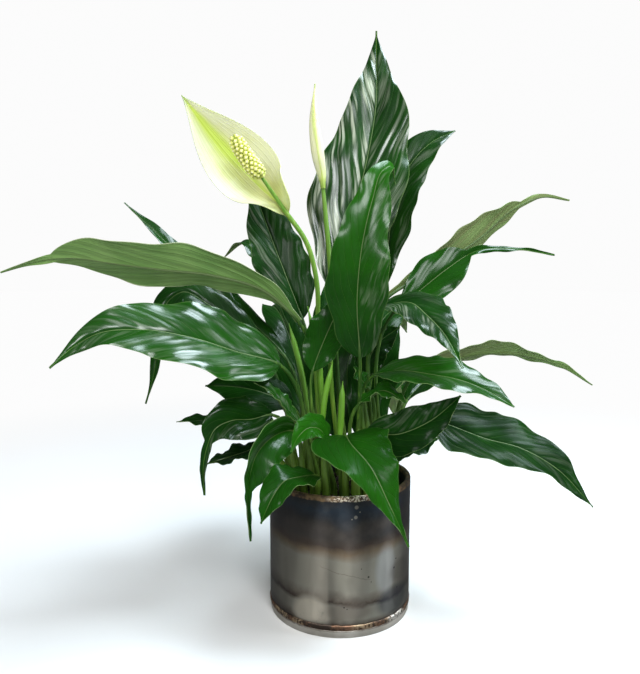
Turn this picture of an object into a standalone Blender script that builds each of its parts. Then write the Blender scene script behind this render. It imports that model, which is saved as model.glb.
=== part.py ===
"""Potted peace lily in a cylindrical planter welded from steel pipe.

Sizes are in millimetres and become metres in new_object. The origin is the middle of the planter's
underside. +Z is up, -Y is the front and +X is the right-hand side seen from the front.
"""

import math
import random

import bmesh
import bpy
from mathutils import Vector

MM = 0.001
GAP = 0.3

# Planter: a length of pipe on a thick disc, joined by a bead of filler metal in a V groove
POT_RADIUS = 60.0
POT_WALL = 4.0
POT_HEIGHT = 116.0
POT_SIDES = 48
RIM_BEVEL = 1.0
DISC_THICKNESS = 8.5
DISC_RADIUS = 59.6
GROOVE_DEPTH = 3.0
BEAD_PROUD = 1.3
BEAD_RIPPLE = 0.3
BEAD_RIPPLES = 13
BEAD_TURNS = 48
BEAD_SPREAD = 2.6
BEAD_SHOULDER = 1.6

# Potting mix: a low mound that ends under the rim, with a plain hole for each stem
SOIL_EDGE = 98.0
SOIL_MOUND = 5.0
SOIL_LUMPS = 0.8
SOIL_RINGS = 5
SOIL_SIDES = 24
SOIL_SEED = 4
HOLE_SIDES = 6
STEM_DEPTH = 12.0
STEM_RISE = 7.0

# Leaf blades
BLADE = 0.9
OUTLINE = 1.74
TIP_WIDTH = 0.9
TAIL_WIDTH = 3.0
TIP_RADIUS = 0.5
NECK_SHARE = 0.1
EDGE_SHIFT = 0.9
KEEL_SHARE = 0.45
STALK_TAPER = 0.35
STALK_STEPS = 3
WIDE_STEPS = 12
NARROW_STEPS = 10
WIDE_COLUMNS = (-1.0, -0.52, 0.0, 0.52, 1.0)
NARROW_COLUMNS = (-1.0, 0.0, 1.0)
WIDE_FROM = 44.0

# New leaves, still rolled: how far up each section stands, and its share of the largest radius
SPEAR_STEPS = (0.25, 0.5, 0.62, 0.74, 0.86, 0.95, 1.0)
SPEAR_SHARES = (0.55, 0.6, 0.85, 1.0, 0.75, 0.4, 0.18)
SPEAR_STALK = 1.7

# Flowers
FLOWER_STALK = 2.0
FLOWER_TOP = 0.7
FLOWER_STEPS = (0.12, 0.25, 0.38, 0.5, 0.6, 0.7, 0.8, 0.9, 1.0)
COLLAR_LENGTH = 10.0
COLLAR_ROOM = 0.45
SPATHE_COLUMNS = (-1.0, -0.66, -0.33, 0.0, 0.33, 0.66, 1.0)
SPATHE_STEPS = 15
SPATHE_OPEN = 0.4
SPADIX_SIDES = 12
SPADIX_STEPS = 17
FLORET = 0.8
SPADIX_TAPER = 0.18
SPADIX_END = 0.45


def leaf(name, foot, rib, width, face, **more):
    """One leaf: where its stalk leaves the soil, its midrib from neck to tip, its width and upper side."""
    row = dict(name=name, foot=foot, rib=rib, width=width, face=face, stalk=2.1)
    row.update(fold=10, wave=2.5, waves=2.5, peak=0.41, tail=0.0, rise=1.0, point=1.0)
    row.update(more)
    return row


LEAVES = [
    # Upright leaves in the middle
    leaf("leaf_tall", (6, 22), [(-2, 24, 262), (9, 34, 327), (23, 44, 379), (32, 58, 428), (34, 80, 502)],
         77, (-15, -100, 15), fold=12, wave=3, waves=3, stalk=2.6, peak=0.48, rise=1.1, point=1.5),
    leaf("leaf_front_upright", (12, -16), [(14, -42, 222), (11, -52, 267), (15, -54, 312), (22, -51, 342),
         (30, -44, 364), (37, -37, 368), (41, -32, 355)], 46, (-10, -100, 30), wave=1.5, peak=0.34),
    leaf("leaf_right_upright", (13, 30), [(41, 48, 268), (45, 56, 314), (52, 62, 355), (66, 68, 384),
         (86, 76, 404), (108, 84, 415)], 42, (-30, -100, 30), fold=12, wave=2, peak=0.42, rise=1.5),
    leaf("leaf_centre_left", (-12, 16), [(-32, 12, 247), (-45, 22, 280), (-60, 32, 318), (-77, 44, 365)],
         48, (20, -100, 20), fold=12, wave=2),
    leaf("leaf_centre_front", (-6, -20), [(-23, -24, 208), (-13, -24, 235), (5, -28, 274)], 32,
         (-30, -100, 20)),
    # Right-hand side
    leaf("leaf_right_high", (28, 6), [(40, 6, 266), (78, 28, 288), (125, 52, 316), (162, 70, 344),
         (193, 82, 355), (218, 88, 352)], 42, (-35, 75, 70), fold=8, wave=2, peak=0.5, tail=0.23,
         rise=1.4, stalk=2.4),
    leaf("leaf_right_high_low", (35, -1), [(47, -2, 257), (68, 4, 273), (90, 8, 290), (114, 14, 304),
         (150, 22, 306), (187, 32, 301)], 38, (20, -80, 60), fold=14, wave=2, peak=0.46, tail=0.5,
         rise=1.5),
    leaf("leaf_right_front", (28, -14), [(30, -10, 258), (54, -30, 264), (64, -50, 256), (73, -72, 245),
         (81, -104, 224)], 42, (10, -90, 80), fold=4, wave=1, peak=0.34, point=1.3),
    leaf("leaf_right_long", (36, 8), [(71, 0, 209), (99, 14, 213), (131, 24, 216), (161, 26, 214),
         (190, 24, 206), (219, 16, 189)], 38, (0, 60, 100), wave=2, peak=0.34, tail=0.15),
    leaf("leaf_right_glossy", (24, -27), [(26, -36, 207), (44, -50, 213), (66, -66, 213), (88, -78, 210),
         (106, -86, 203), (121, -92, 194)], 40, (0, -50, 100), wave=1.5),
    leaf("leaf_right_broad", (40, -8), [(71, 0, 166), (96, -8, 158), (119, -18, 151), (145, -28, 146),
         (173, -38, 131), (200, -44, 102)], 58, (10, -60, 100), fold=8, wave=2.5, waves=3, peak=0.38,
         rise=0.7),
    leaf("leaf_right_grey", (20, -35), [(19, -40, 159), (45, -52, 164), (68, -60, 177), (89, -62, 196)],
         34, (0, -90, 50), wave=1.5),
    leaf("leaf_right_low", (33, -24), [(36, -30, 143), (48, -33, 146), (63, -33, 150), (78, -30, 154)],
         36, (0, -30, 100)),
    leaf("leaf_right_small", (12, -41), [(14, -44, 186), (32, -52, 198), (48, -60, 190)], 18,
         (0, -40, 100)),
    leaf("leaf_centre_right", (30, 22), [(23, 24, 196), (31, 26, 221), (53, 32, 238)], 32,
         (-20, -80, 50)),
    leaf("leaf_inner_small", (18, -19), [(22, -21, 194), (16, -23, 202), (10, -25, 212)], 14,
         (0, -60, 100)),
    # Front, over the rim
    leaf("leaf_front_over_pot", (4, -37), [(3, -44, 160), (7, -66, 159), (20, -86, 148), (33, -96, 123),
         (47, -96, 92)], 52, (15, -70, 90), fold=8, wave=2, peak=0.32, point=1.5),
    leaf("leaf_front_small", (-20, -36), [(-20, -52, 130), (-32, -68, 135), (-44, -80, 135),
         (-52, -86, 125), (-60, -90, 107)], 31, (-20, -60, 100), wave=1.5),
    leaf("leaf_centre_curl", (-12, -38), [(-14, -43, 150), (-16, -44, 160), (-20, -47, 168),
         (-26, -52, 172), (-32, -57, 170), (-39, -63, 160)], 18, (-30, -80, 50), fold=2, wave=0.4, peak=0.5),
    # Left-hand side
    leaf("leaf_left_droop", (-30, -22), [(-39, -28, 160), (-53, -44, 160), (-65, -57, 150),
         (-71, -64, 131), (-72, -68, 109), (-70, -70, 85)], 42, (70, -70, 40), fold=38, wave=1.5,
         tail=0.3),
    leaf("leaf_left_dark", (-34, -10), [(-57, -14, 170), (-74, -22, 168), (-88, -30, 169), (-100, -36, 164),
         (-107, -38, 149), (-110, -38, 134), (-110, -36, 109)], 38, (20, -80, 60), fold=12, wave=1.5,
         tail=0.38),
    leaf("leaf_left_tip_back", (-38, 14), [(-72, 24, 158), (-99, 30, 156), (-146, 34, 152)], 30,
         (0, -20, 100)),
    leaf("leaf_left_tip_low", (-38, -4), [(-66, -6, 141), (-81, -10, 137), (-96, -14, 133),
         (-111, -18, 129)], 22, (0, -40, 100)),
    leaf("leaf_left_big", (-18, -14), [(-50, -16, 212), (-82, -38, 226), (-115, -58, 240),
         (-149, -70, 247), (-177, -80, 245), (-193, -84, 236), (-210, -86, 221)], 62, (10, -85, 80),
         fold=8, wave=2.5, waves=3, peak=0.34, point=1.1, stalk=2.4),
    leaf("leaf_left_high", (-20, -2), [(-35, 0, 246), (-60, -6, 271), (-102, -14, 285), (-144, -20, 290),
         (-183, -22, 295), (-216, -20, 299), (-245, -17, 296), (-275, -13, 287)], 52, (0, 80, 90), fold=8,
         wave=2.5, waves=3, peak=0.6, tail=0.17, stalk=2.4),
    leaf("leaf_left_back_high", (-26, 14), [(-47, 38, 209), (-88, 54, 248), (-132, 64, 287),
         (-165, 72, 318), (-198, 76, 349)], 26, (60, -60, 60), fold=14, wave=1.5),
    leaf("leaf_left_back_arch", (-34, 4), [(-67, 20, 217), (-91, 26, 240), (-116, 30, 259), (-137, 30, 269),
         (-150, 28, 260), (-155, 25, 241), (-158, 21, 221), (-161, 17, 198), (-168, 14, 173)],
         32, (-20, -80, 60), fold=4, wave=0.5, peak=0.3),
    leaf("leaf_back_left_tip", (-14, 32), [(-46, 48, 238), (-70, 62, 289), (-86, 72, 312),
         (-107, 80, 299)], 28, (0, 0, 100)),
    leaf("leaf_left_mid", (-27, 4), [(-41, 0, 174), (-66, 0, 186), (-89, 4, 190), (-115, 8, 190)], 40,
         (0, -70, 70), fold=8),
    leaf("leaf_left_slim", (-22, -22), [(-34, -22, 163), (-45, -26, 178), (-57, -28, 193),
         (-70, -30, 200)], 20, (40, -30, 100), fold=20, wave=1),
    # Back
    leaf("leaf_back_left", (-20, 30), [(-27, 46, 130), (-33, 56, 168), (-40, 65, 205), (-52, 84, 238),
         (-64, 116, 250), (-76, 156, 236)], 44, (0, -50, 100), waves=3, rise=0.7),
    leaf("leaf_back_middle", (0, 38), [(0, 56, 132), (-1, 72, 172), (-2, 86, 210), (-2, 108, 248),
         (2, 144, 264), (6, 180, 234)], 50, (0, -50, 100), waves=3, rise=0.7),
    leaf("leaf_back_right", (20, 34), [(24, 46, 132), (29, 56, 170), (34, 64, 205), (42, 82, 238),
         (58, 112, 246), (74, 148, 220)], 46, (0, -50, 100), waves=3, rise=0.7),
    leaf("leaf_back_low_left", (-14, 42), [(-26, 70, 150), (-45, 110, 170), (-62, 150, 160),
         (-75, 180, 125)], 50, (0, 10, 100), waves=3),
    leaf("leaf_back_low_right", (12, 44), [(26, 74, 150), (44, 115, 168), (60, 150, 155), (70, 180, 120)],
         50, (0, 10, 100), waves=3),
    leaf("leaf_side_right", (38, 22), [(62, 42, 170), (92, 70, 188), (112, 92, 182), (124, 104, 166)], 44,
         (0, 10, 100), waves=3),
    leaf("leaf_side_left", (-40, 24), [(-67, 37, 166), (-86, 68, 184), (-98, 96, 174),
         (-104, 118, 144)], 40, (0, 10, 100), waves=3),
]

# New leaves, still rolled: foot, points up to the tip, largest radius
SPEARS = [
    dict(name="rolled_leaf_left", foot=(-14, -8), points=[(-20, -15, 226), (-27, -16, 260)], radius=2.9),
    dict(name="rolled_leaf_back_left", foot=(-22, 22), points=[(-33, 24, 197), (-44, 26, 242)], radius=2.6),
    dict(name="rolled_leaf_centre", foot=(-10, -29), points=[(-14, -30, 182), (-7, -30, 217)], radius=2.6),
    dict(name="rolled_leaf_front", foot=(0, -26), points=[(-1, -32, 148), (1, -34, 202)], radius=2.8),
]

# Flowers: the stalk up to the spadix, where on it the spathe starts, and the spathe's midrib beyond that
FLOWERS = [
    dict(name="left", foot=(-10, 0), stalk=[(-20, -4, 206), (-19, -2, 239), (-20, -2, 281), (-28, -3, 311),
         (-45, -6, 336), (-63, -14, 362)], collar=0.9, spathe=[(-63, 4, 354), (-85, 6, 377), (-106, 2, 401),
         (-127, -6, 427)], width=57, peak=0.45, rise=1.1, point=1.3, face=(10, -100, 10), cup=0.5, wrap=1.5,
         spadix=[(-63.2, -14.2, 362.3), (-74, -21, 376), (-84, -26, 392)], radius=6.1),
    dict(name="right", foot=(2, 6), stalk=[(-8, 8, 204), (-7, 8, 255), (-9, 8, 297), (-12, 8, 330),
         (-16, 8, 372)], collar=0.975, spathe=[(-18, 1, 380), (-20, 0, 393), (-22, 1, 409), (-22, 4, 425),
         (-21, 8, 439)], width=22, peak=0.32, rise=1.0, point=1.0, face=(-5, 100, 0), cup=1.9, wrap=2.1,
         spadix=[(-16.1, 8.1, 372.5), (-17.5, 7.2, 383), (-19, 6.4, 393)], radius=1.8),
]


def clear_scene():
    for item in list(bpy.data.objects):
        bpy.data.objects.remove(item)


def new_object(name, points, faces, material):
    """A mesh object from points in millimetres, with its faces turned outwards."""
    mesh = bpy.data.meshes.new(name)
    mesh.from_pydata([Vector(p) * MM for p in points], [], faces)
    shell = bmesh.new()
    shell.from_mesh(mesh)
    bmesh.ops.recalc_face_normals(shell, faces=shell.faces)
    if shell.calc_volume(signed=True) < 0:
        bmesh.ops.reverse_faces(shell, faces=shell.faces)
    shell.to_mesh(mesh)
    shell.free()
    mesh.materials.append(material)
    mesh.shade_smooth()
    mesh.set_sharp_from_angle(angle=math.radians(40))
    item = bpy.data.objects.new(name, mesh)
    bpy.context.collection.objects.link(item)
    return item


def surface(name, colour, roughness, metallic=0.0):
    material = bpy.data.materials.new(name)
    material.use_nodes = True
    shader = material.node_tree.nodes["Principled BSDF"]
    shader.inputs["Base Color"].default_value = (*colour, 1.0)
    shader.inputs["Roughness"].default_value = roughness
    shader.inputs["Metallic"].default_value = metallic
    return material


def smooth_curve(points, pieces=24):
    """Closely spaced points on a smooth curve through the given ones, and the index of each of those."""
    knots = [Vector(p) for p in points]
    spans = [(b - a).length for a, b in zip(knots, knots[1:])]
    slopes = [(b - a) / h for a, b, h in zip(knots, knots[1:], spans)]
    tangents = [slopes[0]]
    for i in range(1, len(knots) - 1):
        before, after = spans[i - 1], spans[i]
        tangents.append((slopes[i - 1] * after + slopes[i] * before) / (before + after))
    tangents.append(slopes[-1])
    dense = []
    for i, h in enumerate(spans):
        for k in range(pieces):
            t = k / pieces
            t2, t3 = t * t, t * t * t
            dense.append(knots[i] * (2 * t3 - 3 * t2 + 1) + tangents[i] * (h * (t3 - 2 * t2 + t))
                         + knots[i + 1] * (3 * t2 - 2 * t3) + tangents[i + 1] * (h * (t3 - t2)))
    dense.append(knots[-1])
    return dense, [i * pieces for i in range(len(knots))]


def walk(dense, fractions):
    """Points and directions at fractions of a curve's length."""
    reach = [0.0]
    for a, b in zip(dense, dense[1:]):
        reach.append(reach[-1] + (b - a).length)
    places = []
    k = 0
    for fraction in fractions:
        goal = fraction * reach[-1]
        while k < len(dense) - 2 and reach[k + 1] < goal:
            k += 1
        span = max(reach[k + 1] - reach[k], 1e-9)
        step = min(max((goal - reach[k]) / span, 0.0), 1.0)
        places.append((dense[k].lerp(dense[k + 1], step), (dense[k + 1] - dense[k]).normalized()))
    return places


def upper_sides(places, face, at):
    """The upper side's direction at each place: face at one of them, carried along without turning."""
    sides = [None] * len(places)
    along = places[at][1]
    sides[at] = (Vector(face) - along * along.dot(Vector(face))).normalized()
    for order in (range(at + 1, len(places)), range(at - 1, -1, -1)):
        last = sides[at]
        for i in order:
            along = places[i][1]
            last = (last - along * along.dot(last)).normalized()
            sides[i] = last
    return sides


def loft(rings):
    """Points and triangles of a closed body through rings of equal count, with both ends capped."""
    count = len(rings[0])
    points = [p for ring in rings for p in ring]
    faces = []
    half = count // 2
    for i in range(len(rings) - 1):
        low, high = i * count, (i + 1) * count
        for j in range(count):
            a, b = low + j, low + (j + 1) % count
            c, d = high + (j + 1) % count, high + j
            # The split turns over on the lower half, so that it lies under its twin on the upper half
            if j < half:
                faces += [(a, b, c), (a, c, d)]
            else:
                faces += [(a, b, d), (b, c, d)]
    faces.append(tuple(range(count - 1, -1, -1)))
    last = (len(rings) - 1) * count
    faces.append(tuple(range(last, last + count)))
    return points, faces


def round_ring(centre, side, across, radius, columns):
    """A stalk's section with as many corners as the blade's, in the same order."""
    count = 2 * len(columns)
    ring = []
    for j in range(count):
        turn = math.pi - (j + 0.5) * 2 * math.pi / count
        ring.append(centre + across * (radius * math.cos(turn)) + side * (radius * math.sin(turn)))
    return ring


def leaf_outline(row, t):
    """Half-width of a lance-shaped blade: 0 at the neck, about 1 at its widest place and 0 at the tip."""
    t = min(max(t, 0.0), 1.0)
    peak = row["peak"]
    base = (t / peak) ** (OUTLINE * peak * row["rise"])
    return base * ((1 - t) / (1 - peak)) ** (OUTLINE * (1 - peak) * row["point"])


def half_width(row, t):
    """A blade's half-width, with a slender drip tip along the last part of it where it has one."""
    broad = leaf_outline(row, t / (1 - row["tail"])) * row["width"] / 2
    slender = TIP_WIDTH + (TAIL_WIDTH * (1 - t) / row["tail"] if row["tail"] else 0.0)
    return max(broad, min(slender, TIP_WIDTH + TAIL_WIDTH))


def leaf_ring(row, t, centre, side, across, columns):
    half = half_width(row, t)
    fold = math.radians(row["fold"])
    upper, lower = [], []
    for c in columns:
        swing = math.sin(2 * math.pi * row["waves"] * t + (EDGE_SHIFT if c > 0 else 0.0))
        lift = abs(c) * half * math.sin(fold)
        lift += row["wave"] * c * c * swing * math.sin(math.pi * t) ** 0.5
        keel = row["stalk"] * KEEL_SHARE * (1 - t) if c == 0 else 0.0
        place = centre + across * (c * half * math.cos(fold)) + side * lift
        upper.append(place + side * (BLADE / 2))
        lower.append(place - side * (BLADE / 2 + keel))
    return upper + lower[::-1]


def soil_height(x, y):
    near = min(math.hypot(x, y) / (POT_RADIUS - POT_WALL), 1.0)
    return SOIL_EDGE + SOIL_MOUND * (1 - near * near)


def stem_start(foot):
    x, y = foot
    top = soil_height(x, y)
    return [(x, y, top - STEM_DEPTH), (x, y, top + STEM_RISE)]


def leaf_rings(row, columns, stalk_steps, blade_steps):
    """Sections of one leaf, round up its stalk and flat along its blade."""
    start = stem_start(row["foot"])
    dense, marks = smooth_curve(start[1:] + row["rib"])
    neck = marks[1]
    stalk = walk(dense[:neck + 1], [i / stalk_steps for i in range(stalk_steps)])
    spread = [(i / blade_steps) for i in range(blade_steps + 1)]
    blade = walk(dense[neck:], spread)
    upright = Vector((0, 0, 1))
    places = [(Vector(start[0]), upright), (Vector(start[1]), upright)] + stalk[1:] + blade
    first = len(places) - len(blade)
    sides = upper_sides(places, row["face"], first + blade_steps // 2)
    rings = []
    for i, (centre, along) in enumerate(places):
        t = (i - first) / blade_steps
        side = sides[i]
        across = along.cross(side)
        slim = row["stalk"] * (1 - STALK_TAPER * min(i / first, 1.0))
        ring = round_ring(centre, side, across, slim if t < 0.5 else TIP_RADIUS, columns)
        if 0 < t < 1:
            flat = leaf_ring(row, t, centre, side, across, columns)
            share = min(t / NECK_SHARE, 1.0)
            ring = [a.lerp(b, share) for a, b in zip(ring, flat)]
        rings.append(ring)
    return rings


def make_leaves(material):
    for row in LEAVES:
        wide = row["width"] >= WIDE_FROM
        columns = WIDE_COLUMNS if wide else NARROW_COLUMNS
        rings = leaf_rings(row, columns, STALK_STEPS, WIDE_STEPS if wide else NARROW_STEPS)
        new_object(row["name"], *loft(rings), material)


def tube_rings(places, radii, columns, face=(0.0, -1.0, 0.0)):
    """Round sections along a path, one for each radius."""
    sides = upper_sides(places, face, 0)
    rings = []
    for (centre, along), side, radius in zip(places, sides, radii):
        rings.append(round_ring(centre, side, along.cross(side), radius, columns))
    return rings


def stem_path(foot, points, fractions):
    """Places up a stem: its straight foot in the soil, then fractions of the way to its last point."""
    start = stem_start(foot)
    dense, _ = smooth_curve(start[1:] + list(points))
    upright = Vector((0, 0, 1))
    return [(Vector(start[0]), upright), (Vector(start[1]), upright)] + walk(dense, fractions)


def make_spears(material):
    for row in SPEARS:
        radii = [SPEAR_STALK, SPEAR_STALK] + [row["radius"] * share for share in SPEAR_SHARES]
        rings = tube_rings(stem_path(row["foot"], row["points"], SPEAR_STEPS), radii, NARROW_COLUMNS)
        new_object(row["name"], *loft(rings), material)


def spathe_rings(row, stem):
    """A cupped blade that starts as a collar around the stalk and opens behind the spadix."""
    at, along = walk(stem, [row["collar"]])[0]
    face = Vector(row["face"])
    side = (face - along * along.dot(face)).normalized()
    collar = FLOWER_STALK + BLADE / 2 + COLLAR_ROOM
    start = at - side * collar
    dense, _ = smooth_curve([start - along * COLLAR_LENGTH, start] + row["spathe"])
    steps = SPATHE_STEPS
    places = walk(dense, [i / steps for i in range(steps + 1)])
    sides = upper_sides(places, row["face"], 1)
    wrap = row["wrap"]
    rings = []
    for i, (centre, along) in enumerate(places):
        t = i / steps
        share = min(t / SPATHE_OPEN, 1.0)
        share = share * share * (3 - 2 * share)
        bend = wrap * (1 - share) + row["cup"] * share
        arc = max(collar * wrap * (1 - share), leaf_outline(row, t) * row["width"] / 2)
        arc = max(arc, bend * (BLADE / 2 + GAP))
        radius = arc / bend
        across = along.cross(sides[i])
        upper, lower = [], []
        for c in SPATHE_COLUMNS:
            turn = c * bend
            outward = across * math.sin(turn) - sides[i] * math.cos(turn)
            middle = centre + sides[i] * radius + outward * radius
            upper.append(middle - outward * (BLADE / 2))
            lower.append(middle + outward * (BLADE / 2))
        rings.append(upper + lower[::-1])
    return rings


def spadix_rings(row):
    """A blunt spike whose corners are raised in turn as florets."""
    dense, _ = smooth_curve(row["spadix"])
    steps = SPADIX_STEPS
    places = walk(dense, [i / steps for i in range(steps + 1)])
    sides = upper_sides(places, (0.0, -1.0, 0.1), 0)
    rings = []
    for i, (centre, along) in enumerate(places):
        t = i / steps
        blunt = (1 - abs(2 * t - 1) ** 5) ** 0.5
        core = row["radius"] * max((1 - SPADIX_TAPER * t) * blunt, SPADIX_END)
        across = along.cross(sides[i])
        ring = []
        for j in range(SPADIX_SIDES):
            turn = math.pi - (j + 0.5) * 2 * math.pi / SPADIX_SIDES
            out = core + (FLORET if (i + j) % 2 and 0 < i < steps else 0.0)
            ring.append(centre + across * (out * math.cos(turn)) + sides[i] * (out * math.sin(turn)))
        rings.append(ring)
    return rings


def make_flowers(green, white, yellow):
    for row in FLOWERS:
        name = "flower_" + row["name"]
        places = stem_path(row["foot"], row["stalk"], FLOWER_STEPS)
        radii = [FLOWER_STALK] * (len(places) - 2) + [FLOWER_STALK * FLOWER_TOP] * 2
        new_object(name + "_stalk", *loft(tube_rings(places, radii, NARROW_COLUMNS)), green)
        stem, _ = smooth_curve(stem_start(row["foot"])[1:] + row["stalk"])
        new_object(name + "_spathe", *loft(spathe_rings(row, stem)), white)
        new_object(name + "_spadix", *loft(spadix_rings(row)), yellow)


def circle(radius, height, sides):
    points = []
    for j in range(sides):
        turn = 2 * math.pi * j / sides
        points.append((radius * math.cos(turn), radius * math.sin(turn), height))
    return points


def hoop(profiles):
    """Points and faces of a ring whose closed sections, one for each turn, are joined all round."""
    count, turns = len(profiles[0]), len(profiles)
    points = []
    for k, profile in enumerate(profiles):
        turn = 2 * math.pi * k / turns
        points += [(r * math.cos(turn), r * math.sin(turn), z) for r, z in profile]
    faces = []
    for k in range(turns):
        near, far = k * count, (k + 1) % turns * count
        for j in range(count):
            after = (j + 1) % count
            faces.append((near + j, near + after, far + after, far + j))
    return points, faces


def make_pot(steel, filler):
    groove, seam = GROOVE_DEPTH, DISC_THICKNESS + GAP / 2
    inner = POT_RADIUS - POT_WALL
    foot = DISC_THICKNESS + GAP
    section = [(inner, foot), (POT_RADIUS - groove, foot), (POT_RADIUS, foot + groove),
               (POT_RADIUS, POT_HEIGHT - RIM_BEVEL), (POT_RADIUS - RIM_BEVEL, POT_HEIGHT),
               (inner + RIM_BEVEL, POT_HEIGHT), (inner, POT_HEIGHT - RIM_BEVEL)]
    new_object("pot_tube", *hoop([section] * POT_SIDES), steel)

    drop = DISC_RADIUS - (POT_RADIUS - groove)
    rings = [circle(DISC_RADIUS - RIM_BEVEL, 0, POT_SIDES), circle(DISC_RADIUS, RIM_BEVEL, POT_SIDES),
             circle(DISC_RADIUS, DISC_THICKNESS - drop, POT_SIDES),
             circle(POT_RADIUS - groove, DISC_THICKNESS, POT_SIDES)]
    new_object("pot_base_disc", *loft(rings), steel)

    apex = POT_RADIUS - groove
    sections = []
    for k in range(BEAD_TURNS):
        turn = 2 * math.pi * k / BEAD_TURNS
        swell = BEAD_RIPPLE * (math.sin(BEAD_RIPPLES * turn) + 0.6 * math.sin(5 * turn + 1))
        bulge = BEAD_PROUD + swell
        toe, shoulder = (groove + bulge * 0.1), POT_RADIUS + bulge * 0.7
        sections.append([(apex + GAP + GAP, seam), (apex + toe, seam - BEAD_SPREAD),
                         (shoulder, seam - BEAD_SHOULDER), (POT_RADIUS + bulge, seam),
                         (shoulder, seam + BEAD_SHOULDER), (apex + toe, seam + BEAD_SPREAD)])
    new_object("pot_weld_bead", *hoop(sections), filler)


def stems():
    """Foot and radius of everything that stands in the soil."""
    found = [(row["foot"], row["stalk"]) for row in LEAVES]
    found += [(row["foot"], SPEAR_STALK) for row in SPEARS]
    found += [(row["foot"], FLOWER_STALK) for row in FLOWERS]
    return found


def make_soil(material):
    rng = random.Random(SOIL_SEED)
    reach = POT_RADIUS - POT_WALL - GAP
    floor = DISC_THICKNESS + GAP
    points = circle(reach, floor, SOIL_SIDES)
    for k in range(SOIL_RINGS):
        radius = reach * (1 - k / SOIL_RINGS)
        for x, y, _ in circle(radius, 0, SOIL_SIDES):
            points.append((x, y, soil_height(x, y) + rng.uniform(-SOIL_LUMPS, SOIL_LUMPS)))
    points.append((0, 0, soil_height(0, 0)))
    faces = [tuple(range(SOIL_SIDES))]
    for k in range(SOIL_RINGS):
        low, high = k * SOIL_SIDES, (k + 1) * SOIL_SIDES
        for j in range(SOIL_SIDES):
            after = (j + 1) % SOIL_SIDES
            faces += [(low + j, low + after, high + after), (low + j, high + after, high + j)]
    top = len(points) - 1
    last = SOIL_RINGS * SOIL_SIDES
    faces += [(last + j, last + (j + 1) % SOIL_SIDES, top) for j in range(SOIL_SIDES)]
    soil = new_object("soil", points, faces, material)

    points, faces = [], []
    for (x, y), radius in stems():
        bore = (radius + GAP) / math.cos(math.pi / HOLE_SIDES)
        low = soil_height(x, y) - STEM_DEPTH - GAP
        start = len(points)
        for z in (low, SOIL_EDGE + 3 * SOIL_MOUND):
            points += [(x + px, y + py, z) for px, py, _ in circle(bore, 0, HOLE_SIDES)]
        faces.append(tuple(range(start, start + HOLE_SIDES)))
        faces.append(tuple(range(start + HOLE_SIDES, start + 2 * HOLE_SIDES)))
        for j in range(HOLE_SIDES):
            a, b = start + j, start + (j + 1) % HOLE_SIDES
            faces.append((a, b, b + HOLE_SIDES, a + HOLE_SIDES))
    cutter = new_object("stem_holes", points, faces, material)
    cutter.hide_render = True
    cutter.display_type = "WIRE"
    holes = soil.modifiers.new("stem_holes", "BOOLEAN")
    holes.operation = "DIFFERENCE"
    holes.object = cutter
    holes.solver = "EXACT"


def main():
    clear_scene()
    green = surface("leaf_green", (0.02, 0.09, 0.015), 0.3)
    lime = surface("stalk_green", (0.2, 0.45, 0.04), 0.35)
    white = surface("spathe_cream", (0.8, 0.82, 0.5), 0.45)
    yellow = surface("spadix_yellow", (0.65, 0.62, 0.16), 0.6)
    steel = surface("heat_tinted_steel", (0.07, 0.06, 0.05), 0.4, 0.9)
    filler = surface("weld_filler", (0.4, 0.24, 0.1), 0.45, 0.9)
    earth = surface("potting_mix", (0.03, 0.02, 0.012), 0.95)
    make_pot(steel, filler)
    make_soil(earth)
    make_leaves(green)
    make_spears(lime)
    make_flowers(lime, white, yellow)


main()
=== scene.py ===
import random
from math import cos, exp, hypot, pi, radians, sin, tau
import bpy
from mathutils import Euler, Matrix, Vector, noise


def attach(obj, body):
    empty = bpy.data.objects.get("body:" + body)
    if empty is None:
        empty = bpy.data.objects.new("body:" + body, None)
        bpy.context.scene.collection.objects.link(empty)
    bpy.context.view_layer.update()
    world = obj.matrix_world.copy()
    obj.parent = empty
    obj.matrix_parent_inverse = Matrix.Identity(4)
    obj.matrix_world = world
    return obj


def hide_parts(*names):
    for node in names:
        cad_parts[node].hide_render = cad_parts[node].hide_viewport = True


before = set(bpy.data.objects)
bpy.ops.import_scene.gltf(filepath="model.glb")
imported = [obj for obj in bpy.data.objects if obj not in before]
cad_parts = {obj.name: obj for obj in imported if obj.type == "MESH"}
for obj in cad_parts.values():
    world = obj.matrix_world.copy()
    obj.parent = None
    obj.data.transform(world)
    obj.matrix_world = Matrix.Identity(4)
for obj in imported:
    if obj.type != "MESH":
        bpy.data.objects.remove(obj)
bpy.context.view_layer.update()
mm = 0.001
gap = 0.3  # lengths below are millimetres until a mesh is made


def paired(operation):  # an operator of a wire and its reflected form
    def plain(wire, other):
        return wire.calc(operation, wire, other)

    def reflected(wire, other):
        return wire.calc(operation, other, wire)

    return plain, reflected


class Wire:  # one socket's value; sums with it add Math nodes
    __add__, __radd__ = paired("ADD")
    __sub__, __rsub__ = paired("SUBTRACT")
    __mul__, __rmul__ = paired("MULTIPLY")
    __truediv__, __rtruediv__ = paired("DIVIDE")
    __pow__, __rpow__ = paired("POWER")

    def __init__(self, skin, socket):
        self.skin = skin
        self.socket = socket

    def calc(self, operation, *terms):
        return self.skin.add("ShaderNodeMath", dict(operation=operation), dict(enumerate(terms)))

    def __abs__(self):
        return self.calc("ABSOLUTE", self)

    def comb(self):  # 1 at every whole number and 0 half-way between two
        return abs(self.calc("FRACT", self) * 2 - 1)

    def sine(self):
        return self.calc("SINE", self)


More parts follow.
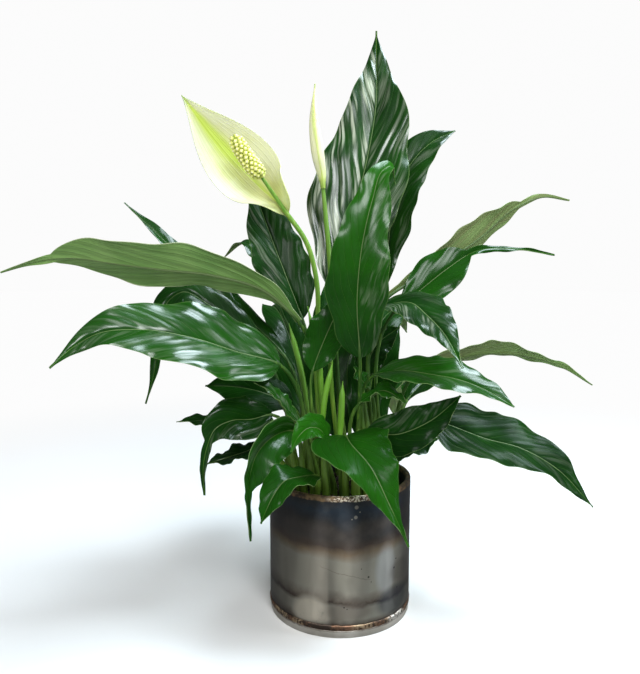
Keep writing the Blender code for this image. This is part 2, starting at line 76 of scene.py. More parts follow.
class Skin:  # one material and the nodes that make it; a colour may be given by its name in the look
    def __init__(self, name, look=None):
        self.look = look
        self.material = bpy.data.materials.new(name)
        self.material.use_nodes = True
        self.tree = self.material.node_tree
        self.shader = self.tree.nodes["Principled BSDF"]

    def feed(self, socket, value):
        if isinstance(value, str):
            value = self.look[value]
        if isinstance(value, Wire):
            self.tree.links.new(value.socket, socket)
        elif isinstance(value, tuple) and socket.type == "RGBA":
            socket.default_value = (*value, 1.0)
        else:
            socket.default_value = value

    def add(self, kind, settings=None, inputs=None, out=0):
        node = self.tree.nodes.new(kind)
        for name, value in (settings or {}).items():
            if name == "stops":
                ramp = node.color_ramp.elements
                while len(ramp) < len(value):
                    ramp.new(0.5)
                for stop, (place, colour) in zip(ramp, value):
                    stop.position = place
                    stop.color = (*colour, 1.0)
            else:
                setattr(node, name, value)
        for key, value in (inputs or {}).items():
            self.feed(node.inputs[key], value)
        return Wire(self, node.outputs[out])

    def split(self, vector):
        node = self.add("ShaderNodeSeparateXYZ", {}, {0: vector}).socket.node
        return [Wire(self, socket) for socket in node.outputs]

    def join(self, x, y, z=0.0):
        return self.add("ShaderNodeCombineXYZ", {}, {0: x, 1: y, 2: z})

    def grain(self, fine, long):  # streaks that run upwards
        x, y, z = self.split(self.place())
        return self.cloud(self.join(x * fine, y * fine, z * long), 1.0, 3.0)

    def place(self):
        return self.add("ShaderNodeTexCoord", out="Object")

    def chart(self, name):  # a UV map's two values
        return self.split(self.add("ShaderNodeUVMap", dict(uv_map=name)))[:2]

    def cloud(self, where, scale, detail=3.0, roughness=0.5):
        inputs = {"Vector": where, "Scale": scale, "Detail": detail, "Roughness": roughness}
        return self.add("ShaderNodeTexNoise", {}, inputs)

    def step(self, value, low, high, start=0.0, end=1.0):
        inputs = {0: value, 1: low, 2: high, 3: start, 4: end}
        return self.add("ShaderNodeMapRange", dict(interpolation_type="SMOOTHSTEP"), inputs)

    def mix(self, share, first, second):
        settings = dict(data_type="RGBA", clamp_factor=True)
        return self.add("ShaderNodeMix", settings, {0: share, 6: first, 7: second}, 2)

    def coat(self, colour, *layers):  # each layer is a share and a colour
        for share, tone in layers:
            colour = self.mix(share, colour, tone)
        return colour

    def ramp(self, value, stops):
        return self.add("ShaderNodeValToRGB", dict(stops=stops), {0: value})

    def spot(self, across, up, centre, reach):  # 1 at the centre of an oval, fading to 0 at its edge
        wide = (across - centre[0]) / reach[0]
        tall = (up - centre[1]) / reach[1]
        return self.step((wide * wide + tall * tall) ** 0.5, 1.0, 0.55)

    def finish(self, colour, roughness, metallic=0.0, height=None, relief=0.0003, **fixed):
        self.feed(self.shader.inputs["Base Color"], colour)
        self.feed(self.shader.inputs["Roughness"], roughness)
        self.feed(self.shader.inputs["Metallic"], metallic)
        if height is not None:
            bump = self.add("ShaderNodeBump", {}, {"Distance": relief, "Height": height})
            self.feed(self.shader.inputs["Normal"], bump)
        for name, value in fixed.items():
            self.shader.inputs[name.replace("_", " ")].default_value = value
        return self.material


class Shape:  # points, faces and their charts, gathered before the mesh is made
    def __init__(self):
        self.points = []
        self.faces = []
        self.skins = []
        self.charts = {"grid": [], "veins": [], "tone": [], "gloss": []}

    def point(self, place, **facts):
        self.points.append(place)
        for name, values in self.charts.items():
            values.append(facts.get(name, (0.0, 0.0)))
        return len(self.points) - 1

    def ring(self, centre, across, side, radius, count, **facts):
        turns = [tau * j / count for j in range(count)]
        return [self.point(centre + spoke(across, side, turn, radius), **facts) for turn in turns]

    def face(self, corners, skin=0):
        self.faces.append(tuple(corners))
        self.skins.append(skin)

    def loft(self, rings, skins, ends=True):  # rings of point numbers; one skin for each side of a ring
        count = len(rings[0])
        for low, high in zip(rings, rings[1:]):
            for j in range(count):
                after = (j + 1) % count
                self.face((low[j], low[after], high[after], high[j]), skins[j])
        if ends:
            self.face(rings[0][::-1], skins[0])
            self.face(rings[-1], skins[0])

    def build(self, name, materials, sharp=50):
        mesh = bpy.data.meshes.new(name)
        mesh.from_pydata([Vector(p) * mm for p in self.points], [], self.faces)
        for material in materials:
            mesh.materials.append(material)
        mesh.polygons.foreach_set("material_index", self.skins)
        corners = [loop.vertex_index for loop in mesh.loops]
        for chart, values in self.charts.items():
            if any(value != (0.0, 0.0) for value in values):
                layer = mesh.uv_layers.new(name=chart)
                layer.data.foreach_set("uv", [number for i in corners for number in values[i]])
        mesh.shade_smooth()
        mesh.set_sharp_from_angle(angle=radians(sharp))
        mesh.update()
        piece = bpy.data.objects.new(name, mesh)
        bpy.context.scene.collection.objects.link(piece)
        return piece


def spoke(across, side, turn, radius):  # the way from a centre line to its surface
    return across * (radius * cos(turn)) + side * (radius * sin(turn))


def settle(piece, slot, *nodes):  # the piece rides on the part and stands for its nodes
    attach(piece, "root")
    if nodes:
        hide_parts(*nodes)


def smoothCurve(points, pieces=24):  # close points on a curve through the given ones, and their numbers
    knots = [Vector(p) for p in points]
    spans = [(b - a).length for a, b in zip(knots, knots[1:])]
    slopes = [(b - a) / h for a, b, h in zip(knots, knots[1:], spans)]
    tangents = [slopes[0]]
    for i in range(1, len(knots) - 1):
        before, after = spans[i - 1], spans[i]
        tangents.append((slopes[i - 1] * after + slopes[i] * before) / (before + after))
    tangents.append(slopes[-1])
    dense = []
    for i, h in enumerate(spans):
        for k in range(pieces):
            t = k / pieces
            t2, t3 = t * t, t * t * t
            dense.append(knots[i] * (2 * t3 - 3 * t2 + 1) + tangents[i] * (h * (t3 - 2 * t2 + t))
                         + knots[i + 1] * (3 * t2 - 2 * t3) + tangents[i + 1] * (h * (t3 - t2)))
    dense.append(knots[-1])
    return dense, [i * pieces for i in range(len(knots))]


def curveLength(dense):
    return sum((b - a).length for a, b in zip(dense, dense[1:]))


def walk(dense, fractions):  # points and directions at fractions of a curve's length
    reach = [0.0]
    for a, b in zip(dense, dense[1:]):
        reach.append(reach[-1] + (b - a).length)
    places = []
    k = 0
    for fraction in fractions:
        goal = fraction * reach[-1]
        while k < len(dense) - 2 and reach[k + 1] < goal:
            k += 1
        span = max(reach[k + 1] - reach[k], 1e-9)
        share = min(max((goal - reach[k]) / span, 0.0), 1.0)
        start = max(k - 1, 0)
        before = (dense[start + 1] - dense[start]).normalized()
        after = (dense[k + 1] - dense[k]).normalized()
        along = before.lerp(after, 0.5 + share / 2).normalized()
        places.append((dense[k].lerp(dense[k + 1], share), along))
    return places


def carrySides(places, face, at):  # the upper side at each place, carried along without turning
    sides = [None] * len(places)
    along = places[at][1]
    sides[at] = (Vector(face) - along * along.dot(Vector(face))).normalized()
    for order in (range(at + 1, len(places)), range(at - 1, -1, -1)):
        last = sides[at]
        for i in order:
            along = places[i][1]
            last = (last - along * along.dot(last)).normalized()
            sides[i] = last
    return sides


potSize = dict(radius=60.0, wall=4.0, height=116.0, disc=8.5, discRadius=59.6, groove=3.0)
soilSize = dict(edge=98.0, mound=5.0, stemDepth=12.0, stemRise=7.0)


def soilHeight(x, y):
    near = min(hypot(x, y) / (potSize["radius"] - potSize["wall"]), 1.0)
    return soilSize["edge"] + soilSize["mound"] * (1 - near * near)


def stemStart(foot):
    x, y = foot
    top = soilHeight(x, y)
    return [(x, y, top - soilSize["stemDepth"]), (x, y, top + soilSize["stemRise"])]


def planted(start):  # the upright first places of a stem
    return [(Vector(place), Vector((0, 0, 1))) for place in start]


# Leaves: the CAD's rows, a few of them bent or shaped slightly nearer to the photograph. fresh is how
# light the green is at the neck and at the tip, partly the leaf's own tone and partly painted shade on
# leaves that lie in shade; bloom how far painted highlight streaks show on the two halves,
# shine how glossy the leaf is, slant how far its side veins lean to the tip, pleats how deep the folds
# between them are, pale how strongly a painted highlight lightens the rim of its underside.
leafWay = dict(outline=1.74, tipWidth=0.9, tailWidth=3.0, edgeShift=0.9, taper=0.35, thick=0.3,
               bow=0.9, quilt=0.06, pleat=1.7, groove=0.45, grooveWidth=1.3, ruffle=0.8, ruffles=7,
               ruffleShift=0.4, crown=0.05, sheath=0.85, sheathReach=70, uneven=0.14, unevenRate=8,
               spacing=3.6, spread=14.0, grain=1.35, columns=(9, 30), crowding=1.1, rows=(20, 190),
               stalkStep=6, keelFade=12, tipRadius=0.3)


def leaf(name, foot, rib, width, face, **more):
    row = dict(name="leaf_" + name, foot=foot, rib=rib, width=width, face=face, stalk=2.1)
    row.update(fold=10, wave=2.5, waves=2.5, peak=0.41, tail=0.0, rise=1.0, point=1.0)
    row.update(fresh=(0.3, 0.3), bloom=(0.0, 0.0), shine=0.5, slant=1.5, pleats=0.5, pale=0.1)
    row.update(more)
    return row


leaves = [
    # Upright leaves in the middle
    leaf("tall", (6, 22), [(-2, 24, 262), (9, 34, 327), (23, 44, 379), (32, 58, 428),
         (34, 80, 502)], 77, (-15, -100, 15), fold=12, wave=3.5, waves=3, stalk=2.6, peak=0.48, rise=1.1,
         point=1.5, fresh=(0.25, 0.2), bloom=(1.0, 0.25), shine=1.0, slant=2.4, pleats=1.3),
    leaf("front_upright", (12, -16), [(14, -42, 222), (11, -52, 267), (15, -54, 312),
         (22, -51, 342), (30, -44, 364), (37, -37, 368), (41, -32, 355)], 46, (-10, -100, 30),
         wave=1.5, peak=0.34, fresh=(0.2, 1.1), bloom=(0.0, 0.15), shine=0.55, slant=2.8, pleats=0.1),
    leaf("right_upright", (13, 30), [(41, 48, 268), (45, 56, 314), (52, 62, 355), (66, 68, 384),
         (86, 76, 404), (108, 84, 415)], 42, (-30, -100, 30), fold=12, wave=2, peak=0.42, rise=1.5,
         fresh=(0.3, 0.15), bloom=(0.05, 0.15), shine=0.6, slant=2.2, pleats=0.7),
    leaf("centre_left", (-12, 16), [(-32, 12, 247), (-45, 22, 280), (-60, 32, 318),
         (-77, 44, 365)], 48, (20, -100, 20), fold=12, wave=2, fresh=(0.15, 0.1), bloom=(0.2, 0.05),
         shine=0.12, slant=2.2, pleats=0.6),
    leaf("centre_front", (-6, -20), [(-23, -24, 208), (-13, -24, 235), (5, -28, 274)], 32,
         (-30, -100, 20), fresh=(0.5, 0.4), shine=0.3, pleats=0.3),
    # Right-hand side
    leaf("right_high", (28, 6), [(40, 6, 266), (78, 28, 288), (125, 52, 316), (162, 70, 344),
         (193, 82, 355), (218, 88, 352)], 42, (-35, 75, 70), fold=8, wave=2, peak=0.5, tail=0.23,
         rise=1.4, stalk=2.4, fresh=(0.1, 0.2), slant=4.0, pale=0.3),
    leaf("right_high_low", (35, -1), [(47, -2, 257), (68, 4, 273), (90, 8, 290), (114, 14, 304),
         (150, 22, 306), (187, 32, 301)], 38, (20, -80, 60), fold=14, wave=2, peak=0.46, tail=0.5,
         rise=1.5, fresh=(0.5, 0.4), slant=2.4),
    leaf("right_front", (28, -14), [(30, -10, 258), (54, -30, 264), (64, -50, 256),
         (73, -72, 245), (81, -104, 224)], 42, (10, -90, 80), fold=4, wave=1, peak=0.34, point=1.3,
         fresh=(0.15, 0.25), bloom=(0.05, 0.3), shine=0.45, pleats=0.7),
    leaf("right_long", (36, 8), [(71, 0, 209), (99, 14, 213), (131, 24, 216), (161, 26, 214),
         (190, 24, 206), (219, 16, 189)], 38, (0, 60, 100), wave=2, peak=0.34, tail=0.15, slant=3.0,
         pleats=0.3, fresh=(0.12, 0.5), pale=0.3),
    leaf("right_glossy", (24, -27), [(26, -36, 207), (44, -50, 213), (66, -66, 213),
         (88, -78, 210), (106, -86, 203), (121, -92, 194)], 40, (0, -50, 100), wave=1.5,
         fresh=(0.55, 0.5), bloom=(0.1, 0.05), shine=0.7, slant=2.0, pleats=0.3),
    leaf("right_broad", (40, -8), [(71, 0, 166), (96, -8, 158), (119, -18, 151), (145, -28, 146),
         (173, -38, 131), (200, -44, 102)], 58, (10, -60, 100), fold=8, waves=3, peak=0.38,
         rise=0.7, fresh=(0.0, 0.12), bloom=(0.06, 0.06), shine=0.1, pleats=0.8),
    leaf("right_grey", (20, -35), [(19, -40, 159), (45, -52, 164), (68, -60, 177),
         (89, -62, 196)], 34, (0, -90, 50), wave=1.5, fresh=(0.1, 0.1), bloom=(0.08, 0.0), shine=0.12,
         pleats=0.4),
    leaf("right_low", (33, -24), [(36, -30, 143), (48, -33, 146), (63, -33, 150), (78, -30, 154)],
         36, (0, -30, 100), fresh=(0.1, 0.1), shine=0.3, pleats=0.3),
    leaf("right_small", (12, -41), [(14, -44, 186), (32, -52, 198), (48, -60, 190)], 18,
         (0, -40, 100), fresh=(0.6, 0.6)),
    leaf("centre_right", (30, 22), [(23, 24, 196), (31, 26, 221), (53, 32, 238)], 32,
         (-20, -80, 50), fresh=(0.2, 0.2)),
    leaf("inner_small", (18, -19), [(22, -21, 194), (16, -23, 202), (10, -25, 212)], 14,
         (0, -60, 100), fresh=(0.5, 0.5), shine=0.1),
    # Front, over the rim
    leaf("front_over_pot", (4, -37), [(3, -44, 160), (7, -66, 159), (20, -86, 148),
         (33, -96, 123), (47, -96, 92)], 52, (15, -70, 90), fold=8, wave=2, peak=0.32, point=1.5,
         fresh=(0.45, 0.7), shine=0.12, pleats=0.35, rise=0.7),
    leaf("front_small", (-20, -36), [(-20, -52, 130), (-32, -68, 135), (-44, -80, 135),
         (-52, -86, 125), (-60, -90, 107)], 31, (-20, -60, 100), wave=1.5, fresh=(0.3, 0.5),
         shine=0.25, pleats=0.2),
    leaf("centre_curl", (-12, -38), [(-14, -43, 150), (-13, -44, 159), (-18, -48, 167),
         (-26, -54, 169), (-34, -60, 163), (-39, -64, 153)], 23, (-30, -80, 50), fold=16, wave=0.4,
         peak=0.42, point=1.3, fresh=(1.0, 1.0), shine=0.15, pleats=0.2),
    # Left-hand side
    leaf("left_droop", (-30, -22), [(-39, -28, 160), (-53, -44, 160), (-65, -57, 150),
         (-71, -64, 131), (-72, -68, 109), (-70, -70, 85)], 42, (70, -70, 40), fold=38, wave=1.5,
         tail=0.3, fresh=(0.6, 0.2), bloom=(0.0, 0.1), shine=0.45, slant=2.4, pleats=0.6),
    leaf("left_dark", (-34, -10), [(-57, -14, 170), (-74, -22, 168), (-88, -30, 169),
         (-100, -36, 164), (-107, -38, 149), (-110, -38, 134), (-110, -36, 109)], 38, (20, -80, 60),
         fold=12, wave=1.5, tail=0.38, fresh=(0.1, 0.2), bloom=(0.15, 0.0), shine=0.45, slant=2.4,
         pleats=0.8),
    leaf("left_tip_back", (-38, 14), [(-72, 24, 158), (-99, 30, 156), (-146, 34, 152)], 30,
         (0, -20, 100), fresh=(0.2, 0.4)),
    leaf("left_tip_low", (-38, -4), [(-66, -6, 141), (-81, -10, 137), (-96, -14, 133),
         (-111, -18, 129)], 22, (0, -40, 100), fresh=(0.1, 0.1)),
    leaf("left_big", (-18, -14), [(-50, -16, 212), (-82, -38, 226), (-115, -58, 240),
         (-149, -70, 247), (-177, -80, 245), (-193, -84, 236), (-210, -86, 221)], 62, (10, -85, 80),
         fold=8, waves=3, peak=0.34, point=1.1, stalk=2.4, fresh=(0.5, 0.5),
         bloom=(0.1, 0.06), shine=1.0, pleats=0.65),
    leaf("left_high", (-20, -2), [(-35, 0, 246), (-60, -6, 271), (-102, -14, 285),
         (-144, -20, 290), (-183, -22, 295), (-216, -20, 299), (-245, -17, 296), (-275, -13, 287)], 52,
         (0, 80, 90), fold=8, waves=3, peak=0.6, tail=0.17, stalk=2.4, fresh=(0.55, 0.5),
         slant=4.5, pleats=0.7, pale=0.7),
    leaf("left_back_high", (-26, 14), [(-47, 38, 209), (-88, 54, 248), (-132, 64, 287),
         (-165, 72, 318), (-198, 76, 349)], 26, (60, -60, 60), fold=14, wave=1.5),
    leaf("left_back_arch", (-34, 4), [(-67, 20, 217), (-91, 26, 240), (-116, 30, 259),
         (-137, 30, 269), (-150, 28, 260), (-155, 25, 241), (-158, 21, 221), (-161, 17, 198),
         (-168, 14, 173)], 32, (-20, -80, 60), fold=4, wave=0.5, peak=0.3, fresh=(0.1, 0.5)),
    leaf("back_left_tip", (-14, 32), [(-46, 48, 238), (-70, 62, 289), (-86, 72, 312),
         (-107, 80, 299)], 28, (0, 0, 100)),
    # left_mid's darker green (low fresh) is painted shade: it lies in the shade of left_big
    leaf("left_mid", (-27, 4), [(-41, 0, 174), (-66, 0, 186), (-89, 4, 190), (-115, 8, 190)], 40,
         (0, -70, 70), fold=8, fresh=(0.0, 0.4), shine=0.05, pleats=0.4),
    leaf("left_slim", (-22, -22), [(-34, -22, 163), (-45, -26, 178), (-57, -28, 193),
         (-70, -30, 200)], 20, (40, -30, 100), fold=20, wave=1, fresh=(0.8, 0.4), bloom=(0.2, 0.2),
         shine=0.8, pleats=0.3),
    # Back
    leaf("back_left", (-20, 30), [(-27, 46, 130), (-33, 56, 168), (-40, 65, 205), (-52, 84, 238),
         (-64, 116, 250), (-76, 156, 236)], 44, (0, -50, 100), waves=3, rise=0.7, shine=0.25),
    leaf("back_middle", (0, 38), [(0, 56, 132), (-1, 72, 172), (-2, 86, 210), (-2, 108, 248),
         (2, 144, 264), (6, 180, 234)], 50, (0, -50, 100), waves=3, rise=0.7, shine=0.05),
    leaf("back_right", (20, 34), [(24, 46, 132), (29, 56, 170), (34, 64, 205), (42, 82, 238),
         (58, 112, 246), (74, 148, 220)], 46, (0, -50, 100), waves=3, rise=0.7, shine=0.25),
    leaf("back_low_left", (-14, 42), [(-26, 70, 150), (-45, 110, 170), (-62, 150, 160),
         (-75, 180, 125)], 50, (0, 10, 100), waves=3),
    leaf("back_low_right", (12, 44), [(26, 74, 150), (44, 115, 168), (60, 150, 155),
         (70, 180, 120)], 50, (0, 10, 100), waves=3),
    leaf("side_right", (38, 22), [(62, 42, 170), (92, 70, 188), (112, 92, 182), (124, 104, 166)],
         44, (0, 10, 100), waves=3),
    leaf("side_left", (-40, 24), [(-67, 37, 166), (-86, 68, 184), (-98, 96, 174),
         (-104, 118, 144)], 40, (0, 10, 100), waves=3),
]


def leafOutline(row, t):  # half-width: 0 at the neck, about 1 at its widest place and 0 at the tip
    t = min(max(t, 0.0), 1.0)
    base = (t / row["peak"]) ** (leafWay["outline"] * row["peak"] * row["rise"])
    return base * ((1 - t) / (1 - row["peak"])) ** (leafWay["outline"] * (1 - row["peak"]) * row["point"])


def halfWidth(row, t):
    broad = leafOutline(row, t / (1 - row["tail"])) * row["width"] / 2
    slender = leafWay["tipWidth"]
    if row["tail"]:
        slender += min(leafWay["tailWidth"] * (1 - t) / row["tail"], leafWay["tailWidth"])
    return max(broad, slender)


def veinSpacing(row):  # square to the veins
    return leafWay["spacing"] + row["width"] / leafWay["spread"]


def veinCount(row, t, c, length):  # how many side veins lie between the neck and this point
    reach = abs(c) * halfWidth(row, t)
    lean = row["slant"] + leafWay["bow"] * abs(c)
    return (t * length - lean * reach) / (veinSpacing(row) * hypot(1.0, row["slant"]))


def bladePoint(row, t, c, length, centre, side, across):
    half = halfWidth(row, t)
    where = row["seed"] * 9 + (5.0 if c > 0 else 0.0)
    half *= 1 + leafWay["uneven"] * noise.noise(Vector((t * leafWay["unevenRate"], where, 2.0)))
    reach = abs(c) * half
    turn = radians(row["fold"])
    swing = sin(tau * row["waves"] * t + (leafWay["edgeShift"] if c > 0 else 0.0))
    lively = max(sin(pi * t), 0.0) ** 0.5
    lift = reach * sin(turn) + row["wave"] * c * c * swing * lively
    lift += leafWay["crown"] * half * 4 * abs(c) * (1 - abs(c))
    shift = row["seed"] + (leafWay["ruffleShift"] if c > 0 else 0.0)
    ripple = sin(tau * (leafWay["ruffles"] * t + shift))
    lift += leafWay["ruffle"] * c ** 4 * ripple * lively
    room = min(half / 12, 1.0) * min(abs(c) / 0.12, 1.0) * min((1 - abs(c)) / 0.1, 1.0)
    room *= row["pleats"]
    count = veinCount(row, t, c, length)
    strength = 0.6 + 1.2 * noise.noise(Vector((count * 0.8, where, reach * 0.03)))
    swell = leafWay["quilt"] * veinSpacing(row) * strength
    lift -= swell * room * 0.5 * cos(tau * count)
    lift += leafWay["pleat"] * room * noise.noise(Vector((count * 0.6, where + 20, reach * 0.04)))
    lift -= leafWay["groove"] * exp(-(reach / leafWay["grooveWidth"]) ** 2) * min(half / 8, 1.0)
    return centre + across * (c * half * cos(turn)) + side * lift


def makeBlade(shape, row, places, sides, length):
    steps = len(places) - 1
    fewest, most = leafWay["columns"]
    half = int(min(max(row["width"] / 2 / leafWay["grain"], fewest), most))
    columns = [(k / half) ** leafWay["crowding"] for k in range(half + 1)]
    columns = [-c for c in columns[:0:-1]] + columns
    sheet = []
    for i, (centre, along) in enumerate(places):
        across = along.cross(sides[i])
        sheet.append([bladePoint(row, i / steps, c, length, centre, sides[i], across) for c in columns])
    rings = []
    last = len(columns) - 1
    for i in range(steps + 1):
        t = i / steps
        upper, lower = [], []
        for k, c in enumerate(columns):
            ahead = sheet[min(i + 1, steps)][k] - sheet[max(i - 1, 0)][k]
            over = sheet[i][min(k + 1, last)] - sheet[i][max(k - 1, 0)]
            up = over.cross(ahead).normalized()
            thick = leafWay["thick"] * (1 - 0.5 * abs(c) ** 8)
            reach = abs(c) * halfWidth(row, t)
            fresh = row["fresh"][0] * (1 - t) + row["fresh"][1] * t
            facts = dict(grid=(0.5 + c / 2, t), veins=(veinCount(row, t, c, length), reach / 10),
                         tone=(fresh, row["bloom"][1 if c > 0 else 0]), gloss=(row["shine"], row["pale"]))
            upper.append(shape.point(sheet[i][k] + up * thick, **facts))
            lower.append(shape.point(sheet[i][k] - up * thick, **facts))
        rings.append(upper + lower[::-1])
    count = len(columns)
    shape.loft(rings, [0] * (count - 1) + [1] * (count + 1))


def makeStalk(shape, places, sides, radii, skin, neck=9999, count=10):
    rings = []
    for i, ((centre, along), side, radius) in enumerate(zip(places, sides, radii)):
        under = min(max((i - neck) / leafWay["keelFade"], 0.0), 1.0)  # from the neck on it is the keel
        rings.append(shape.ring(centre, along.cross(side), side, radius, count, tone=(0.5, under)))
    shape.loft(rings, [skin] * count)


def makeLeaf(row, materials):
    start = stemStart(row["foot"])
    dense, marks = smoothCurve(start[1:] + row["rib"])
    stalk, blade = dense[:marks[1] + 1], dense[marks[1]:]
    length = curveLength(blade)
    fewest, most = leafWay["rows"]
    steps = int(min(max(length / leafWay["grain"], fewest), most))
    rise = max(int(curveLength(stalk) / leafWay["stalkStep"]), 6)
    lower = walk(stalk, [i / rise for i in range(rise)])
    upper = walk(blade, [i / steps for i in range(steps + 1)])
    places = planted(start) + lower[1:] + upper
    first = len(places) - len(upper)
    sides = carrySides(places, row["face"], first + steps // 2)
    row["seed"] = (row["foot"][0] * 0.37 + row["foot"][1] * 0.61) % 1.0
    shape = Shape()
    makeBlade(shape, row, upper, sides[first:], length)

    radii = []
    stem = []
    for i, (centre, along) in enumerate(places):
        slim = row["stalk"] * (1 - leafWay["taper"] * min(i / first, 1.0))
        t = max(i - first, 0) / steps
        low = max(1 - max(centre.z - soilSize["edge"], 0.0) / leafWay["sheathReach"], 0.0)
        wide = slim * (1 + leafWay["sheath"] * low) * (1 - t) ** 0.8  # sheaths widen towards the soil
        radii.append(max(wide, leafWay["tipRadius"]))
        stem.append((centre - sides[i] * (radii[-1] * 0.9 * min(t / 0.08, 1.0)), along))
    makeStalk(shape, stem[:-2], sides[:-2], radii[:-2], 2, first)
    settle(shape.build(row["name"] + "_fine", materials), "leaf_green", row["name"])


def leafUpper():
    look = dict(deep=(0.002, 0.014, 0.002), fresh=(0.010, 0.078, 0.002), vein=(0.038, 0.135, 0.012),
                rib=(0.110, 0.220, 0.040), wax=(0.460, 0.490, 0.370), edge=(0.130, 0.230, 0.060))
    skin = Skin("leafUpper", look)
    side, along = skin.chart("grid")
    count, reach = skin.chart("veins")
    fresh, bloom = skin.chart("tone")
    shine, _ = skin.chart("gloss")
    place = skin.place()
    mottle = skin.cloud(place, 38.0, 3.0)
    cell = count + (skin.cloud(place, 60.0, 1.0) - 0.5) * 0.2
    ridge, thread = cell.comb(), (cell * 6).comb()
    midrib = skin.step(reach, 0.065, 0.02)
    away = skin.step(reach, 0.05, 0.3) * skin.step(along, 0.97, 0.85)
    rim = skin.step(abs(side * 2 - 1), 0.975, 0.99)
    # painted highlight: pale streaks between the side veins, stronger on the leaves and halves given more
    # painted sheen
    streak = skin.cloud(skin.join(count * 1.6, reach * 0.4, fresh * 7), 1.6, 2.0)
    patch = skin.cloud(skin.join(count * 0.35, reach * 0.8, fresh * 3), 1.4, 2.0)
    paintedSheenMask = bloom * skin.step(streak, 0.42, 0.64) * skin.step(patch, 0.4, 0.6) * away
    sleek = skin.cloud(skin.join(count * 1.1, reach * 0.35, fresh * 9), 1.5, 2.0)
    colour = skin.mix(fresh + (mottle - 0.5) * 0.7, "deep", "fresh")
    # the midrib's own pale line is made paler on glossy and sheen-painted leaves: partly its colour, partly
    # a painted highlight
    colour = skin.coat(
        colour, (skin.step(ridge, 0.93, 1.0) * 0.4 * away, "vein"),
        (skin.step(thread, 0.5, 1.0) * 0.08 * away, "vein"), (paintedSheenMask * 0.75, "wax"),
        (midrib * (0.2 + shine * 0.26 + bloom * 0.3), "rib"), (rim * 0.3, "edge"))
    height = skin.step(ridge, 0.84, 1.0) * away * -1.1 + thread * 0.08 * away + mottle * 0.08
    rough = 0.44 - shine * 0.16 + (sleek - 0.5) * 0.2
    skin.feed(skin.shader.inputs["Coat Weight"], shine * skin.step(sleek, 0.34, 0.62, 0.35, 1.15))
    return skin.finish(colour, rough, height=height, relief=0.0003, Coat_Roughness=0.2,
                       Specular_IOR_Level=0.03)


def leafLower():
    look = dict(olive=(0.112, 0.138, 0.040), green=(0.085, 0.205, 0.038), light=(0.180, 0.280, 0.080),
                vein=(0.170, 0.260, 0.095), edge=(0.400, 0.440, 0.260), dark=(0.030, 0.062, 0.016))
    skin = Skin("leafLower", look)
    side, along = skin.chart("grid")
    count, reach = skin.chart("veins")
    fresh, _ = skin.chart("tone")
    _, pale = skin.chart("gloss")
    place = skin.place()
    mottle = skin.cloud(place, 30.0, 2.0)
    ridge, thread = count.comb(), (count * 4).comb()
    away = skin.step(reach, 0.06, 0.3) * skin.step(along, 0.95, 0.8)
    # rim: the underside's rim, lightened to the edge colour as far as pale says, is a painted highlight on
    # its curled edge
    rim = skin.step(abs(side * 2 - 1), 0.96, 0.985)
    streak = skin.cloud(skin.join(count * 0.9, reach * 0.25, fresh * 5), 1.6, 1.0)
    base = skin.step(fresh, 0.1, 0.6) * 0.75 + (streak - 0.4) * 0.9
    colour = skin.coat(
        skin.mix(base, "olive", "green"),
        (skin.step(mottle * 0.5 + streak * 0.5, 0.42, 0.66) * 0.5, "light"),
        (skin.step(ridge, 0.86, 1.0) * 0.3 * away, "vein"),
        (skin.step(thread, 0.5, 1.0) * 0.14 * away, "vein"),
        (skin.step(ridge, 0.5, 0.1) * 0.22 * away, "dark"),
        (skin.step(reach, 0.14, 0.07) * 0.2, "vein"), (rim * pale, "edge"))
    height = skin.step(ridge, 0.7, 1.0) * away * 0.5 + thread * 0.1 * away + mottle * 0.3
    return skin.finish(colour, 0.46 + mottle * 0.2, height=height, relief=0.0005, Specular_IOR_Level=0.35)


def stalkGreen():
    look = dict(low=(0.085, 0.155, 0.018), high=(0.018, 0.060, 0.006), stripe=(0.140, 0.270, 0.030),
                keel=(0.070, 0.112, 0.034))
    skin = Skin("stalkGreen", look)
    _, under = skin.chart("tone")
    z = skin.split(skin.place())[2]
    streak = skin.grain(700, 25)
    colour = skin.mix(skin.step(z, 0.11, 0.2), "low", "high")
    colour = skin.coat(colour, (skin.step(streak, 0.5, 0.75) * 0.5, "stripe"), (under, "keel"))
    return skin.finish(colour, 0.36 + streak * 0.15, height=streak, relief=0.0001,
                       Specular_IOR_Level=0.25)


print("leaves")
leafSkins = [leafUpper(), leafLower(), stalkGreen()]
for row in leaves:
    makeLeaf(row, leafSkins)


# New leaves, still rolled
spears = [
    dict(name="rolled_leaf_left", foot=(-14, -8), points=[(-20, -15, 226), (-27, -16, 260)], radius=2.9),
    dict(name="rolled_leaf_back_left", foot=(-22, 22), points=[(-33, 24, 197), (-44, 26, 242)], radius=2.6),
    dict(name="rolled_leaf_centre", foot=(-10, -29), points=[(-14, -30, 182), (-7, -30, 217)], radius=2.6),
    dict(name="rolled_leaf_front", foot=(0, -26), points=[(-1, -32, 148), (1, -34, 202)], radius=2.8),
]
spearWay = dict(steps=60, stalk=1.6, swellFrom=0.35, lap=0.16, turns=1.6, sides=20, tip=0.12,
                tipRadius=0.35)


def stemPath(foot, points, steps):
    start = stemStart(foot)
    dense, _ = smoothCurve(start[1:] + list(points))
    places = planted(start) + walk(dense, [(i + 1) / steps for i in range(steps)])
    return places, carrySides(places, (0.0, -1.0, 0.0), 0)


